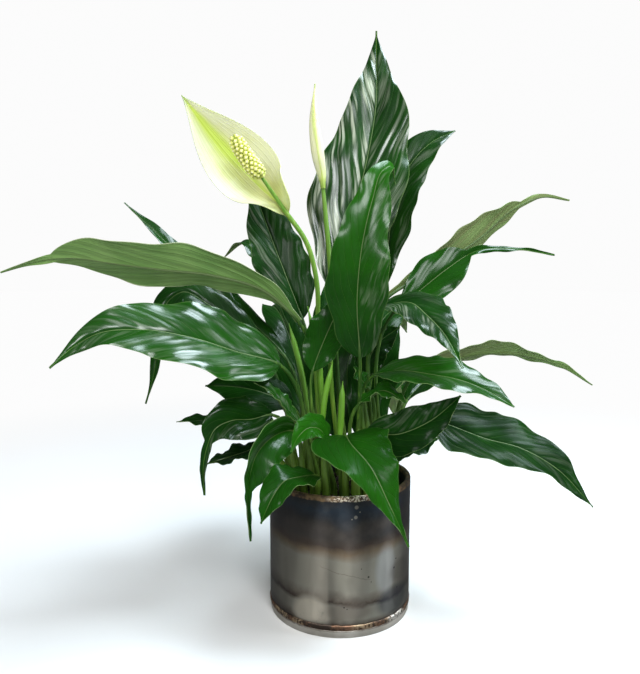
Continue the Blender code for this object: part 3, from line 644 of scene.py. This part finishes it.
def makeSpear(row, material):
    count, slim, since = spearWay["sides"], spearWay["stalk"], spearWay["swellFrom"]
    places, sides = stemPath(row["foot"], row["points"], spearWay["steps"])
    shape = Shape()
    rings = []
    for i, (centre, along) in enumerate(places):
        t = i / (len(places) - 1)
        across = along.cross(sides[i])
        body = sin(pi * min((t - since) / 0.8, 1.0)) if t > since else 0.0
        radius = slim + (row["radius"] - slim) * body
        radius = max(radius * min((1 - t) / spearWay["tip"], 1.0), spearWay["tipRadius"])
        ring = []
        for j in range(count):
            share = (j / count + spearWay["turns"] * t) % 1.0  # the rolled blade's free edge winds upwards
            out = radius * (1 - spearWay["lap"] * share * body)
            offset = spoke(across, sides[i], tau * j / count, out)
            ring.append(shape.point(centre + offset, grid=(share, t)))
        rings.append(ring)
    shape.loft(rings, [0] * count)
    settle(shape.build(row["name"] + "_fine", [material]), "stalk_green", row["name"])


def spearGreen():
    look = dict(low=(0.060, 0.120, 0.014), high=(0.110, 0.270, 0.018), edge=(0.030, 0.090, 0.008))
    skin = Skin("spearGreen", look)
    share, along = skin.chart("grid")
    streak = skin.grain(900, 18)
    colour = skin.mix(skin.step(along, 0.25, 0.6), "low", "high")
    # the band beside the rolled blade's free edge, where share nears 1, is darkened as painted shade under
    # the lap
    colour = skin.coat(colour, (skin.step(streak, 0.45, 0.75) * 0.4, "edge"),
                       (skin.step(share, 0.9, 1.0) * 0.7, "edge"))
    return skin.finish(colour, 0.33 + streak * 0.1, height=streak, relief=0.0002)


print("rolled leaves")
spearSkin = spearGreen()
for row in spears:
    makeSpear(row, spearSkin)


# Flowers: the CAD's rows, with the closed spathe slightly slimmer. closed is 1 for it.
flowers = [
    dict(name="left", foot=(-10, 0), stalk=[(-20, -4, 206), (-19, -2, 239), (-20, -2, 281), (-28, -3, 311),
         (-45, -6, 336), (-63, -14, 362)], collar=0.9, spathe=[(-63, 4, 354), (-85, 6, 377), (-106, 2, 401),
         (-127, -6, 427)], width=57, peak=0.45, rise=1.1, point=1.3, face=(10, -100, 10), cup=0.5, wrap=1.5,
         spadix=[(-63.2, -14.2, 362.3), (-74, -21, 376), (-84, -26, 392)], radius=6.1, closed=0.0),
    dict(name="right", foot=(2, 6), stalk=[(-8, 8, 204), (-7, 8, 255), (-9, 8, 297), (-12, 8, 330),
         (-16, 8, 372)], collar=0.975, spathe=[(-18, 1, 380), (-20, 0, 393), (-22, 1, 409), (-22, 4, 425),
         (-21, 8, 439)], width=19, peak=0.32, rise=1.3, point=1.2, face=(-5, 100, 0), cup=1.9, wrap=2.1,
         spadix=[(-16.1, 8.1, 372.5), (-17.5, 7.2, 383), (-19, 6.4, 393)], radius=1.8, closed=1.0),
]
flowerWay = dict(stalk=2.0, collarLength=10.0, collarRoom=0.45, open=0.4, blade=0.9, thick=0.28,
                 steps=72, columns=32, wave=0.9, waves=1.7, hug=0.62, hugReach=0.2, rib=0.5, ribWidth=1.1,
                 stalkSteps=60, taper=0.3, taperFrom=0.85)


def makeSpathe(row, material):
    start = stemStart(row["foot"])
    stem, _ = smoothCurve(start[1:] + row["stalk"])
    at, along = walk(stem, [row["collar"]])[0]
    face = Vector(row["face"])
    side = (face - along * along.dot(face)).normalized()
    collar = flowerWay["stalk"] + flowerWay["blade"] / 2 + flowerWay["collarRoom"]
    base = at - side * collar
    dense, _ = smoothCurve([base - along * flowerWay["collarLength"], base] + row["spathe"])
    steps, columns = flowerWay["steps"], flowerWay["columns"]
    places = walk(dense, [i / steps for i in range(steps + 1)])
    sides = carrySides(places, row["face"], 5)
    outline = dict(row, tail=0.0)
    shape = Shape()
    rings = []
    for i, (centre, along) in enumerate(places):
        t = i / steps
        share = min(t / flowerWay["open"], 1.0)
        share = share * share * (3 - 2 * share)
        bend = row["wrap"] * (1 - share) + row["cup"] * share
        loose = min(t / flowerWay["hugReach"], 1.0)  # its foot closes on the stalk
        hug = flowerWay["hug"] + (1 - flowerWay["hug"]) * loose
        arc = max(collar * hug * row["wrap"] * (1 - share), leafOutline(outline, t) * row["width"] / 2)
        arc = max(arc, bend * 0.35)
        radius = arc / bend
        across = along.cross(sides[i])
        inner, outer = [], []
        for k in range(columns + 1):
            c = 2 * k / columns - 1
            turn = c * bend
            outward = across * sin(turn) - sides[i] * cos(turn)
            swing = sin(tau * (flowerWay["waves"] * t + 0.15 * (c > 0)) + 1.2)
            lively = share * min(arc / 12, 1.0)
            wavy = flowerWay["wave"] * c ** 4 * swing * lively * (1 - row["closed"])
            vein = 0.12 * sin(9 * pi * c) * (1 - c * c) * lively
            middle = centre + sides[i] * radius + outward * (radius + wavy + vein)
            rib = flowerWay["rib"] * exp(-(c * arc / flowerWay["ribWidth"]) ** 2) * (1 - t)
            facts = dict(grid=(0.5 + c / 2, t), veins=(0.5, row["closed"]))
            inner.append(shape.point(middle - outward * flowerWay["thick"], **facts))
            outer.append(shape.point(middle + outward * (flowerWay["thick"] + rib), **facts))
        rings.append(inner + outer[::-1])
    shape.loft(rings, [0] * len(rings[0]))
    name = "flower_" + row["name"] + "_spathe"
    settle(shape.build(name + "_fine", [material]), "spathe_cream", name)


def makeFlowerStalk(row, material):
    steps, late = flowerWay["stalkSteps"], flowerWay["taperFrom"]
    places, sides = stemPath(row["foot"], row["stalk"], steps)
    radii = [flowerWay["stalk"] * (1 - flowerWay["taper"] * max(i / steps - late, 0) / (1 - late))
             for i in range(len(places))]
    shape = Shape()
    makeStalk(shape, places, sides, radii, 0, count=16)
    name = "flower_" + row["name"] + "_stalk"
    settle(shape.build(name + "_fine", [material]), "stalk_green", name)


spadixWay = dict(floret=0.31, rows=1.55, around=1.85, steps=40, sides=24, core=0.93, taper=0.18,
                 margin=0.03, lean=0.9, seed=7, corners=8, square=0.12,
                 profile=((1.0, -0.55), (1.02, 0.05), (0.8, 0.42), (0.42, 0.62), (0.2, 0.86)))


def dome(shape, centre, out, along, size, t):  # one floret: a low dome with a small point
    across = along.cross(out)
    rings = []
    for k, (wide, tall) in enumerate(spadixWay["profile"]):
        ring = []
        for j in range(spadixWay["corners"]):
            turn = tau * j / spadixWay["corners"]
            square = 1 + spadixWay["square"] * cos(4 * turn)  # four petals make it slightly square
            offset = spoke(across, along, turn, size * wide * square)
            height = k / (len(spadixWay["profile"]) - 1)
            ring.append(shape.point(centre + offset + out * (size * tall), grid=(height, t)))
        rings.append(ring)
    shape.loft(rings, [0] * spadixWay["corners"])


def makeSpadix(row, material):
    dense, _ = smoothCurve(row["spadix"])
    steps, size = spadixWay["steps"], row["radius"] * spadixWay["floret"]
    fine = walk(dense, [i / steps for i in range(steps + 1)])
    sides = carrySides(fine, (0.0, -1.0, 0.1), 0)
    shape = Shape()

    def girth(t):
        return row["radius"] * max((1 - spadixWay["taper"] * t) * (1 - abs(2 * t - 1) ** 5) ** 0.5, 0.3)

    rings = []
    for i, (centre, along) in enumerate(fine):
        grid, radius = (0.0, i / steps), girth(i / steps) * spadixWay["core"]
        across = along.cross(sides[i])
        rings.append(shape.ring(centre, across, sides[i], radius, spadixWay["sides"], grid=grid))
    shape.loft(rings, [0] * spadixWay["sides"])
    dice = random.Random(spadixWay["seed"])
    rows = max(int(curveLength(dense) / (size * spadixWay["rows"])), 6)
    for i in range(rows + 1):
        t = spadixWay["margin"] + (1 - 2 * spadixWay["margin"]) * i / rows
        at = min(int(t * steps), steps - 1)
        centre, along = fine[at][0].lerp(fine[at + 1][0], t * steps - at), fine[at][1]
        across = along.cross(sides[at])
        radius = girth(t)
        around = max(int(tau * radius / (size * spadixWay["around"])), 4)
        for j in range(around):
            turn = tau * (j + 0.5 * (i % 2) + dice.uniform(-0.06, 0.06)) / around
            out = spoke(across, sides[at], turn, 1.0)
            lean = (out + along * ((2 * t - 1) ** 3 * spadixWay["lean"])).normalized()
            where = centre + out * radius + along * dice.uniform(-0.15, 0.15)
            level = (along - lean * along.dot(lean)).normalized()
            dome(shape, where, lean, level, size * dice.uniform(0.9, 1.05), t)
    name = "flower_" + row["name"] + "_spadix"
    settle(shape.build(name + "_fine", [material], 80), "spadix_yellow", name)


def spatheCream():
    look = dict(cream=(0.460, 0.465, 0.180), pale=(0.570, 0.575, 0.380), grey=(0.400, 0.430, 0.320),
                lime=(0.340, 0.450, 0.030), green=(0.140, 0.260, 0.040), shut=(0.760, 0.760, 0.500))
    skin = Skin("spatheCream", look)
    side, along = skin.chart("grid")
    _, closed = skin.chart("veins")
    off = abs(side * 2 - 1)
    mottle = skin.cloud(skin.place(), 35.0, 3.0)
    fan = skin.cloud(skin.join(side * 26, along * 1.2, closed * 5), 1.0, 2.0)
    lines = skin.step((side * 15).comb(), 0.7, 1.0) * skin.step(along, 0.85, 0.65)
    wide = 0.1 + skin.step(along, 0.35, 0.7) * 0.3 - skin.step(along, 0.8, 1.0) * 0.2
    streak = skin.step(off + (fan - 0.5) * 0.3, wide * 1.15, wide * 0.1)
    tint = skin.step(abs(side - 0.36) + (fan - 0.5) * 0.12, 0.3, 0.05) * skin.step(along, 0.25, 0.5)
    streak = streak + tint * (1 - closed) * 0.3
    margin = skin.step(off, 0.95, 1.0) * skin.step(along, 0.6, 0.95)
    colour = skin.mix(skin.step(mottle * 0.6 + off * 0.4, 0.35, 0.65), "cream", "pale")
    colour = skin.coat(
        colour, (skin.step(along, 0.45, 0.8) * (1 - closed) * 0.35, "grey"),
        (lines * 0.16 * skin.step(along, 0.25, 0.5), "grey"), (closed * 0.6, "shut"),
        (streak * (0.75 - closed * 0.1), "lime"), (skin.step(along, 0.9, 1.0) * 0.6 + margin * 0.3, "green"),
        (skin.step(along, 0.22, 0.02) * (0.45 + closed * 0.4), "lime"),
        (skin.step(along, 0.12, 0.02) * closed * 0.6, "green"))
    height = lines * 0.5 + fan * 0.5 * skin.step(along, 0.95, 0.7)
    return skin.finish(colour, 0.42 + mottle * 0.1, height=height, relief=0.0003, Subsurface_Weight=0.25,
                       Subsurface_Radius=(0.004, 0.004, 0.0015), Subsurface_Scale=1.0,
                       Specular_IOR_Level=0.35)


def spadixYellow():
    look = dict(gap=(0.240, 0.310, 0.030), body=(0.560, 0.570, 0.120), top=(0.800, 0.780, 0.400))
    skin = Skin("spadixYellow", look)
    height, along = skin.chart("grid")
    mottle = skin.cloud(skin.place(), 260.0, 3.0)
    colour = skin.mix(skin.step(height, 0.05, 0.5), "gap", "body")
    colour = skin.coat(colour, (skin.step(height + (mottle - 0.5) * 0.3, 0.5, 0.95), "top"),
                       (skin.step(along, 0.3, 0.0) * 0.35, "gap"))
    return skin.finish(colour, 0.5, height=mottle, relief=0.0002, Subsurface_Weight=0.15,
                       Subsurface_Radius=(0.002, 0.002, 0.001), Subsurface_Scale=1.0)


def flowerStalkGreen():
    look = dict(low=(0.085, 0.190, 0.014), high=(0.095, 0.220, 0.018), stripe=(0.260, 0.360, 0.045))
    skin = Skin("flowerStalkGreen", look)
    z = skin.split(skin.place())[2]
    streak = skin.grain(600, 20)
    colour = skin.mix(skin.step(z, 0.18, 0.3), "low", "high")
    colour = skin.coat(colour, (skin.step(streak, 0.45, 0.75) * 0.5, "stripe"))
    return skin.finish(colour, 0.3 + streak * 0.1, height=streak, relief=0.0002)


print("flowers")
spatheSkin, spadixSkin, flowerStalkSkin = spatheCream(), spadixYellow(), flowerStalkGreen()
for row in flowers:
    makeFlowerStalk(row, flowerStalkSkin)
    makeSpathe(row, spatheSkin)
    makeSpadix(row, spadixSkin)


# Planter
lathe = dict(turns=240, beadTurns=480, wobble=0.12, rimDip=0.25, nick=0.25, lump=0.45, lumplet=0.25,
             slide=0.4, ripple=0.12, ripples=130)


def bumps(around, rate, z):
    return noise.noise(around * rate + Vector((0, 0, z)))


def turned(shape, profile, turns, closed, jitter):  # a profile of (radius, height) swept all round
    rings = []
    for k in range(turns):
        turn = tau * k / turns
        around = Vector((cos(turn), sin(turn), 0.0))
        ring = []
        for j, (r, z) in enumerate(profile):
            out, up = jitter(around, turn, j, r, z)
            ring.append(shape.point(around * (r + out) + Vector((0, 0, z + up))))
        rings.append(ring)
    count = len(profile)
    for k in range(turns):
        low, high = rings[k], rings[(k + 1) % turns]
        for j in range(count if closed else count - 1):
            after = (j + 1) % count
            shape.face((low[j], low[after], high[after], high[j]))


def makePot(material):
    radius, height = potSize["radius"], potSize["height"]
    inner = radius - potSize["wall"]
    foot = potSize["disc"] + gap
    side = [(radius, foot + potSize["groove"] + k * (height - 1.6 - foot - potSize["groove"]) / 24)
            for k in range(25)]
    rim = [(radius - 0.25, height - 0.7), (radius - 0.8, height - 0.15), (radius - 1.6, height),
           (inner + 1.4, height - 0.05), (inner + 0.5, height - 0.3), (inner, height - 1.2)]
    profile = [(inner, foot), (radius - potSize["groove"], foot)] + side + rim

    def jitter(around, turn, j, r, z):
        wobble = bumps(around, 2.2, z * 0.02) * lathe["wobble"]
        dip = bumps(around, 30, j * 0.4) * lathe["rimDip"] if z > height - 2 else 0.0
        return wobble - abs(dip) * 0.3, min(dip, 0.0)

    shape = Shape()
    turned(shape, profile, lathe["turns"], True, jitter)
    settle(shape.build("pot_tube_fine", [material], 60), "heat_tinted_steel", "pot_tube")


def makeDisc(material):
    reach, thick = potSize["discRadius"], potSize["disc"]
    profile = [(0.0, 0.0), (reach - 1.2, 0.0), (reach - 0.35, 0.3), (reach, 1.1), (reach, 4.0),
               (reach, thick - 2.6), (potSize["radius"] - potSize["groove"], thick), (0.0, thick)]

    def jitter(around, turn, j, r, z):
        nick = bumps(around, 9, z)
        return (-abs(nick) * lathe["nick"] if 2 <= j <= 4 else 0.0), 0.0

    shape = Shape()
    turned(shape, profile, lathe["turns"], False, jitter)
    settle(shape.build("pot_disc_fine", [material], 35), "heat_tinted_steel", "pot_base_disc")


def makeBead(material):
    seam = potSize["disc"] + gap / 2
    apex = potSize["radius"] - potSize["groove"]
    profile = [(apex + 0.6, -0.3), (apex + 2.2, -1.9), (apex + 2.8, -2.2), (apex + 3.2, -1.8),
               (apex + 3.4, -1.0), (apex + 3.5, 0.0), (apex + 3.4, 1.0), (apex + 3.2, 1.8),
               (apex + 2.8, 2.3), (apex + 2.2, 2.0)]

    def jitter(around, turn, j, r, z):
        lump = bumps(around, 22, z * 0.4) * lathe["lump"]
        lump += bumps(around, 60, z) * lathe["lumplet"]
        ripple = lathe["ripple"] * sin(lathe["ripples"] * turn)
        out = max(r - apex - 2.0, 0.0) / 2.4
        rise = noise.noise(around * 35 + Vector((4, z, 0))) * 0.5 * out
        return (lump + ripple) * out, bumps(around, 8, 0) * lathe["slide"] + rise

    shape = Shape()
    turned(shape, [(r, seam + z) for r, z in profile], lathe["beadTurns"], True, jitter)
    settle(shape.build("pot_bead_fine", [material], 70), "weld_filler", "pot_weld_bead")


def steelNodes(skin):  # height in millimetres and the angle from the front
    place = skin.place()
    x, y, z = skin.split(place)
    return place, z * 1000, skin.add("ShaderNodeMath", dict(operation="ARCTAN2"), {0: x, 1: y * -1})


def potSteel():
    look = dict(
        dark=(0.052, 0.050, 0.050), blue=(0.045, 0.062, 0.082), brown=(0.100, 0.074, 0.058),
        umber=(0.210, 0.175, 0.140), silver=(0.560, 0.590, 0.610), grey=(0.400, 0.380, 0.310),
        pale=(0.740, 0.680, 0.550), bronze=(0.330, 0.220, 0.120), bright=(0.950, 0.860, 0.700),
        pit=(0.020, 0.018, 0.016), gold=(0.260, 0.195, 0.125))
    skin = Skin("potSteel", look)
    place, z, turn = steelNodes(skin)
    big = skin.cloud(place, 22.0, 4.0, 0.55)
    fine = skin.cloud(place, 160.0, 4.0, 0.6)
    grit = skin.cloud(place, 620.0, 2.0)
    brushed = skin.cloud(skin.join(turn * 40, z * 0.06), 1.0, 3.0)
    # broad makes dark vertical bands around the wall: painted reflections
    broad = skin.cloud(skin.join(turn * 2.6, z * 0.006, 4.0), 1.0, 2.0)
    level = z + (big - 0.5) * 14 + (fine - 0.5) * 4 + (turn * 2.3 + 0.6).sine() * 1.4
    bands = [(0.00, "brown"), (0.06, "brown"), (0.10, "umber"), (0.15, "grey"), (0.22, "grey"),
             (0.25, "brown"), (0.27, "umber"), (0.34, "grey"), (0.54, "grey"), (0.595, "gold"),
             (0.64, "brown"), (0.70, "dark"), (0.80, "dark"), (0.88, "blue"), (0.94, "dark")]
    heat = skin.ramp(level / 120, [(share, look[tone]) for share, tone in bands])

    # an oval spot on the wall: real stains, and painted highlights where marked below
    def stainAndHighlightSpot(across, up, wide, tall):
        return skin.spot(turn, z, (across, up), (wide, tall))

    def dots(rows):
        return [skin.spot(turn * 60, z, (across * 60, up), (reach, reach)) for across, up, reach in rows]

    haze = skin.step(big, 0.42, 0.6) * skin.step(abs(z - 86), 15, 4)
    scratch = skin.step(abs(z - 54 + turn * 18 + (fine - 0.5) * 5), 0.5, 0.2)
    scratch = scratch * skin.step(abs(turn - 0.05), 0.36, 0.3)
    # a pale vertical band left of the front, on the middle of the wall, is a painted reflection
    reflectionStreak = skin.step(turn, -0.16, -0.2) * skin.step(turn, -0.62, -0.24)
    drips = dots(((0.19, 107.5, 2.0), (0.18, 99.5, 1.8), (0.235, 103.5, 0.8), (0.13, 98, 0.7)))
    pits = sum(dots(((0.36, 49.5, 1.1), (0.79, 51, 1.1), (0.83, 58, 0.8), (0.40, 45, 0.6),
                     (0.03, 26, 0.8), (0.07, 24.5, 0.6), (0.26, 57, 0.6), (0.86, 33, 0.8))))
    colour = skin.coat(
        heat, ((fine - 0.45) * skin.step(level, 82, 66, 0.3, 1.0) * 0.7, "grey"),
        (stainAndHighlightSpot(-0.42, 19, 0.34, 17) * skin.step(big + fine, 0.55, 0.9), "pale"),
        # the bluish-grey spot at the right, up the wall, is a painted reflection
        (stainAndHighlightSpot(0.1, 22, 0.4, 9) * 0.5, "umber"), (stainAndHighlightSpot(0.64, 52, 0.22, 25) * 0.4, "silver"),
        (haze * 0.3, "umber"), (scratch * 0.35, "brown"), (stainAndHighlightSpot(0.8, 24, 0.4, 15) * 0.6, "blue"),
        # the blue spot at the top front is blued steel with a painted sheen on it
        (stainAndHighlightSpot(0.95, 47, 0.3, 12) * 0.4, "brown"), (stainAndHighlightSpot(0.05, 100, 0.25, 15) * 0.5, "blue"),
        (reflectionStreak * skin.step(z, 78, 60) * 0.32, "pale"), (skin.step(broad, 0.6, 0.35) * 0.3, "dark"),
        # the wall darkens towards its sides, away from the front: painted shade
        (skin.step(abs(turn - 0.02), 0.55, 1.2) * 0.6, "dark"), *[(drip * 0.35, "pale") for drip in drips],
        (pits * 0.85, "pit"))
    band = skin.step(z + (fine - 0.5) * 2.4, 111.6, 112.6)
    colour = skin.mix(band, colour, skin.mix(skin.step(fine, 0.35, 0.65), "brown", "bronze"))
    # bright specks on the rim band at the front are painted highlights
    rimGlints = band * stainAndHighlightSpot(0.1, 113, 0.34, 9) * skin.step(grit, 0.46, 0.6)
    soot = skin.step(z + (big - 0.5) * 6, 14, 9)
    colour = skin.coat(colour, (rimGlints, "bright"), (soot * 0.4, "brown"))
    rough = 0.4 + (fine - 0.5) * 0.2 + band * 0.12 + (brushed - 0.5) * 0.12
    height = brushed * 0.25 + fine * 0.5 + band * grit * 1.4 - pits * 1.5
    return skin.finish(colour, rough, 0.85, height, 0.00012, Anisotropic=0.85, Anisotropic_Rotation=0.25)


def discSteel():
    look = dict(pale=(0.920, 0.880, 0.790), grey=(0.640, 0.600, 0.520), brown=(0.180, 0.135, 0.100))
    skin = Skin("discSteel", look)
    place, z, turn = steelNodes(skin)
    big, fine = skin.cloud(place, 30.0, 4.0), skin.cloud(place, 210.0, 4.0)
    colour = skin.mix(skin.step(big, 0.35, 0.65), "grey", "pale")
    colour = skin.coat(colour, (skin.step(z + (fine - 0.5) * 3, 4.5, 6.5) * 0.75, "brown"),
                       (skin.step(fine, 0.6, 0.75) * 0.4, "brown"))
    height = fine * 0.6 + skin.cloud(skin.join(turn * 60, z * 0.4), 1.0) * 0.4
    return skin.finish(colour, 0.38 + fine * 0.2, 0.85, height, 0.0002)


def beadFiller():
    look = dict(oxide=(0.070, 0.052, 0.040), copper=(0.230, 0.130, 0.080), gold=(0.520, 0.400, 0.250),
                bright=(0.900, 0.860, 0.780))
    skin = Skin("beadFiller", look)
    place, _, turn = steelNodes(skin)
    big, fine = skin.cloud(place, 40.0, 3.0), skin.cloud(place, 330.0, 3.0)
    colour = skin.mix(skin.step(big + (fine - 0.5) * 0.6, 0.42, 0.62), "oxide", "copper")
    patches = ((-0.95, 0.22), (-0.62, 0.12), (0.3, 0.2), (0.86, 0.28), (2.4, 0.3), (-2.2, 0.25))
    shown = sum(skin.step(abs(turn - across), reach, reach * 0.4) for across, reach in patches)
    # a bright patch on the bead at the right is a painted highlight
    beadGlint = skin.step(abs(turn - 0.86), 0.22, 0.08) * skin.step(fine, 0.4, 0.52)
    colour = skin.coat(colour, (shown * skin.step(fine, 0.42, 0.58) * 0.85, "gold"), (beadGlint, "bright"))
    return skin.finish(colour, 0.4 + (fine - 0.5) * 0.3, 0.8, fine, 0.0003)


print("planter")
makePot(potSteel())
makeDisc(discSteel())
makeBead(beadFiller())


# Potting mix, with chips of bark and white grains on it
mixWay = dict(rings=26, sides=96, lumps=1.5, chips=150, grains=26, seed=11, spread=50, dent=0.16)


def lumpyHeight(x, y):
    broad = noise.noise(Vector((x * 0.09, y * 0.09, 3.0)))
    small = noise.noise(Vector((x * 0.3, y * 0.3, 8.0)))
    return soilHeight(x, y) + (broad + 0.6 * small) * mixWay["lumps"]


def makeMix(material):
    reach = potSize["radius"] - potSize["wall"] - gap
    shape = Shape()
    rings = []
    for k in range(mixWay["rings"]):
        radius = reach * (1 - k / mixWay["rings"])
        ring = []
        for j in range(mixWay["sides"]):
            turn = tau * j / mixWay["sides"]
            x, y = radius * cos(turn), radius * sin(turn)
            ring.append(shape.point(Vector((x, y, lumpyHeight(x, y)))))
        rings.append(ring)
    floor = potSize["disc"] + gap
    low = [shape.point(Vector((shape.points[i].x, shape.points[i].y, floor))) for i in rings[0]]
    shape.loft([low] + rings, [0] * mixWay["sides"])
    settle(shape.build("soil_fine", [material], 80), "potting_mix", "soil")


def chip(shape, centre, size, dice, blunt):  # a crumb: a block with its corners pushed about
    spin = Euler([dice.uniform(0, 6.28) for _ in range(3)]).to_matrix()
    numbers = []
    for x, y, z in [(a, b, c) for a in (-1, 1) for b in (-1, 1) for c in (-1, 1)]:
        corner = Vector((x * size[0], y * size[1], z * size[2])) * 0.5
        corner += Vector([dice.uniform(-mixWay["dent"], mixWay["dent"]) * size[i] for i in range(3)])
        numbers.append(shape.point(centre + spin @ (corner * (1 - blunt * dice.random()))))
    for corners in ((0, 1, 3, 2), (4, 6, 7, 5), (0, 4, 5, 1), (2, 3, 7, 6), (0, 2, 6, 4), (1, 5, 7, 3)):
        shape.face([numbers[i] for i in corners])


def scatter(name, count, sizes, blunt, material, seed):
    dice = random.Random(seed)
    shape = Shape()
    for _ in range(count):
        radius = mixWay["spread"] * dice.random() ** 0.5
        turn = dice.uniform(0, tau)
        x, y = radius * cos(turn), radius * sin(turn)
        size = [dice.uniform(low, high) for low, high in sizes]
        chip(shape, Vector((x, y, lumpyHeight(x, y) + min(size) * 0.3)), size, dice, blunt)
    settle(shape.build(name, [material], 30), "potting_mix")


def mixEarth():
    look = dict(dark=(0.006, 0.004, 0.003), damp=(0.020, 0.014, 0.010), dry=(0.036, 0.026, 0.018))
    skin = Skin("mixEarth")
    fine = skin.cloud(skin.place(), 420.0, 5.0, 0.65)
    colour = skin.ramp(fine, [(0.3, look["dark"]), (0.55, look["damp"]), (0.75, look["dry"])])
    return skin.finish(colour, 0.9, height=fine, relief=0.0012, Specular_IOR_Level=0.2)


def crumbSkin(name, grain, dark, light, roughness, relief, **fixed):
    skin = Skin(name)
    fine = skin.cloud(skin.place(), *grain)
    return skin.finish(skin.mix(fine, dark, light), roughness, height=fine, relief=relief, **fixed)


print("potting mix")
makeMix(mixEarth())
bark = crumbSkin("chipBark", (300.0, 4.0), (0.014, 0.009, 0.006), (0.060, 0.040, 0.025), 0.85,
                 0.0006, Specular_IOR_Level=0.2)
white = crumbSkin("grainWhite", (900.0, 3.0), (0.220, 0.200, 0.170), (0.450, 0.430, 0.380), 0.9, 0.0003)
scatter("bark_chips", mixWay["chips"], ((3, 8), (2, 5), (1, 2.5)), 0.2, bark, mixWay["seed"])
scatter("white_grains", mixWay["grains"], ((1.2, 2.6), (1.2, 2.4), (1, 2.2)), 0.35, white,
        mixWay["seed"] + 1)


# Floor, backdrop, light and camera
studio = dict(floor=6.0, dome=5.5, pale=(0.83, 0.83, 0.82), grey=(0.6, 0.6, 0.6), black=(0.0, 0.0, 0.0),
              glow=(0.97, 0.97, 0.97), air=(0.92, 0.96, 1.0), airPower=0.12, sides=64, rings=25, sunk=0.05)
lamps = [
    dict(name="windowLamp", place=(-1.0, -1.5, 1.12), aim=(0.0, 0.0, 0.3), size=(0.5, 0.7), power=14,
         colour=(0.98, 0.98, 1.0)),
    dict(name="skyLamp", place=(0.52, 0.02, 1.28), aim=(0.0, 0.0, 0.25), size=(0.75, 0.6), power=32,
         colour=(0.78, 0.91, 1.0)),
    dict(name="frontLamp", place=(0.34, -1.4, 1.12), aim=(0.0, 0.0, 0.3), size=(0.75, 0.65), power=22,
         colour=(0.96, 0.98, 1.0)),
    dict(name="sideLamp", place=(1.45, -0.3, 0.55), aim=(0.0, 0.0, 0.15), size=(0.3, 0.9), power=7,
         colour=(0.9, 0.95, 1.0)),
]
view = dict(place=(-0.017, -0.570, 0.302), tilt=6.9, focal=687, long=674)


def plainSkin(name, glowFrom, glowTo):  # it glows with distance, so that no horizon shows
    skin = Skin(name)
    place = skin.place()
    x, y, _ = skin.split(place)
    far = skin.step((x * x + y * y) ** 0.5, glowFrom, glowTo)
    tone = skin.mix(skin.cloud(place, 3.0) * 0.06, studio["pale"], studio["grey"])
    glow = skin.mix(far, studio["black"], studio["glow"])
    skin.feed(skin.shader.inputs["Emission Color"], glow)
    return skin.finish(skin.mix(far, tone, studio["black"]), 0.85, Specular_IOR_Level=0.2,
                       Emission_Strength=1.0)


def makeStudio():
    ways = Vector((1, 0, 0)), Vector((0, 1, 0))
    shape = Shape()
    shape.face(shape.ring(Vector(), *ways, studio["floor"] / mm, studio["sides"]))
    floor = shape.build("floor", [plainSkin("floorPale", 0.12, 1.0)])
    floor.visible_glossy = False
    shape = Shape()
    rings = []
    for k in range(studio["rings"]):
        rise, reach = pi / 2 * k / studio["rings"] - studio["sunk"], studio["dome"] / mm
        centre = Vector((0, 0, reach * sin(rise)))
        rings.append(shape.ring(centre, *ways, reach * cos(rise), studio["sides"]))
    shape.loft(rings, [0] * studio["sides"], ends=False)
    dome = shape.build("backdrop", [plainSkin("backdropPale", -0.2, -0.1)])
    for ray in ("diffuse", "glossy", "transmission", "shadow", "volume_scatter"):
        setattr(dome, "visible_" + ray, False)  # only the camera sees the backdrop


def makeLights():
    world = bpy.data.worlds.new("air")
    world.use_nodes = True
    air = world.node_tree.nodes["Background"]
    air.inputs["Color"].default_value = (*studio["air"], 1.0)
    air.inputs["Strength"].default_value = studio["airPower"]
    bpy.context.scene.world = world
    for row in lamps:
        light = bpy.data.lights.new(row["name"], "AREA")
        light.shape = "RECTANGLE"
        light.size, light.size_y = row["size"]
        light.energy = row["power"]
        light.color = row["colour"]
        lamp = bpy.data.objects.new(row["name"], light)
        lamp.location = row["place"]
        way = Vector(row["aim"]) - Vector(row["place"])
        lamp.rotation_euler = way.to_track_quat("-Z", "Y").to_euler()
        bpy.context.scene.collection.objects.link(lamp)


def makeCamera():
    data = bpy.data.cameras.new("camera")
    data.lens = view["focal"] * 36 / view["long"]
    data.clip_start = 0.02
    camera = bpy.data.objects.new("camera", data)
    camera.location = view["place"]
    camera.rotation_euler = (radians(90 - view["tilt"]), 0, 0)
    bpy.context.scene.collection.objects.link(camera)
    bpy.context.scene.camera = camera


print("studio")
makeStudio()
makeLights()
makeCamera()
bpy.context.scene.view_settings.view_transform = "Standard"
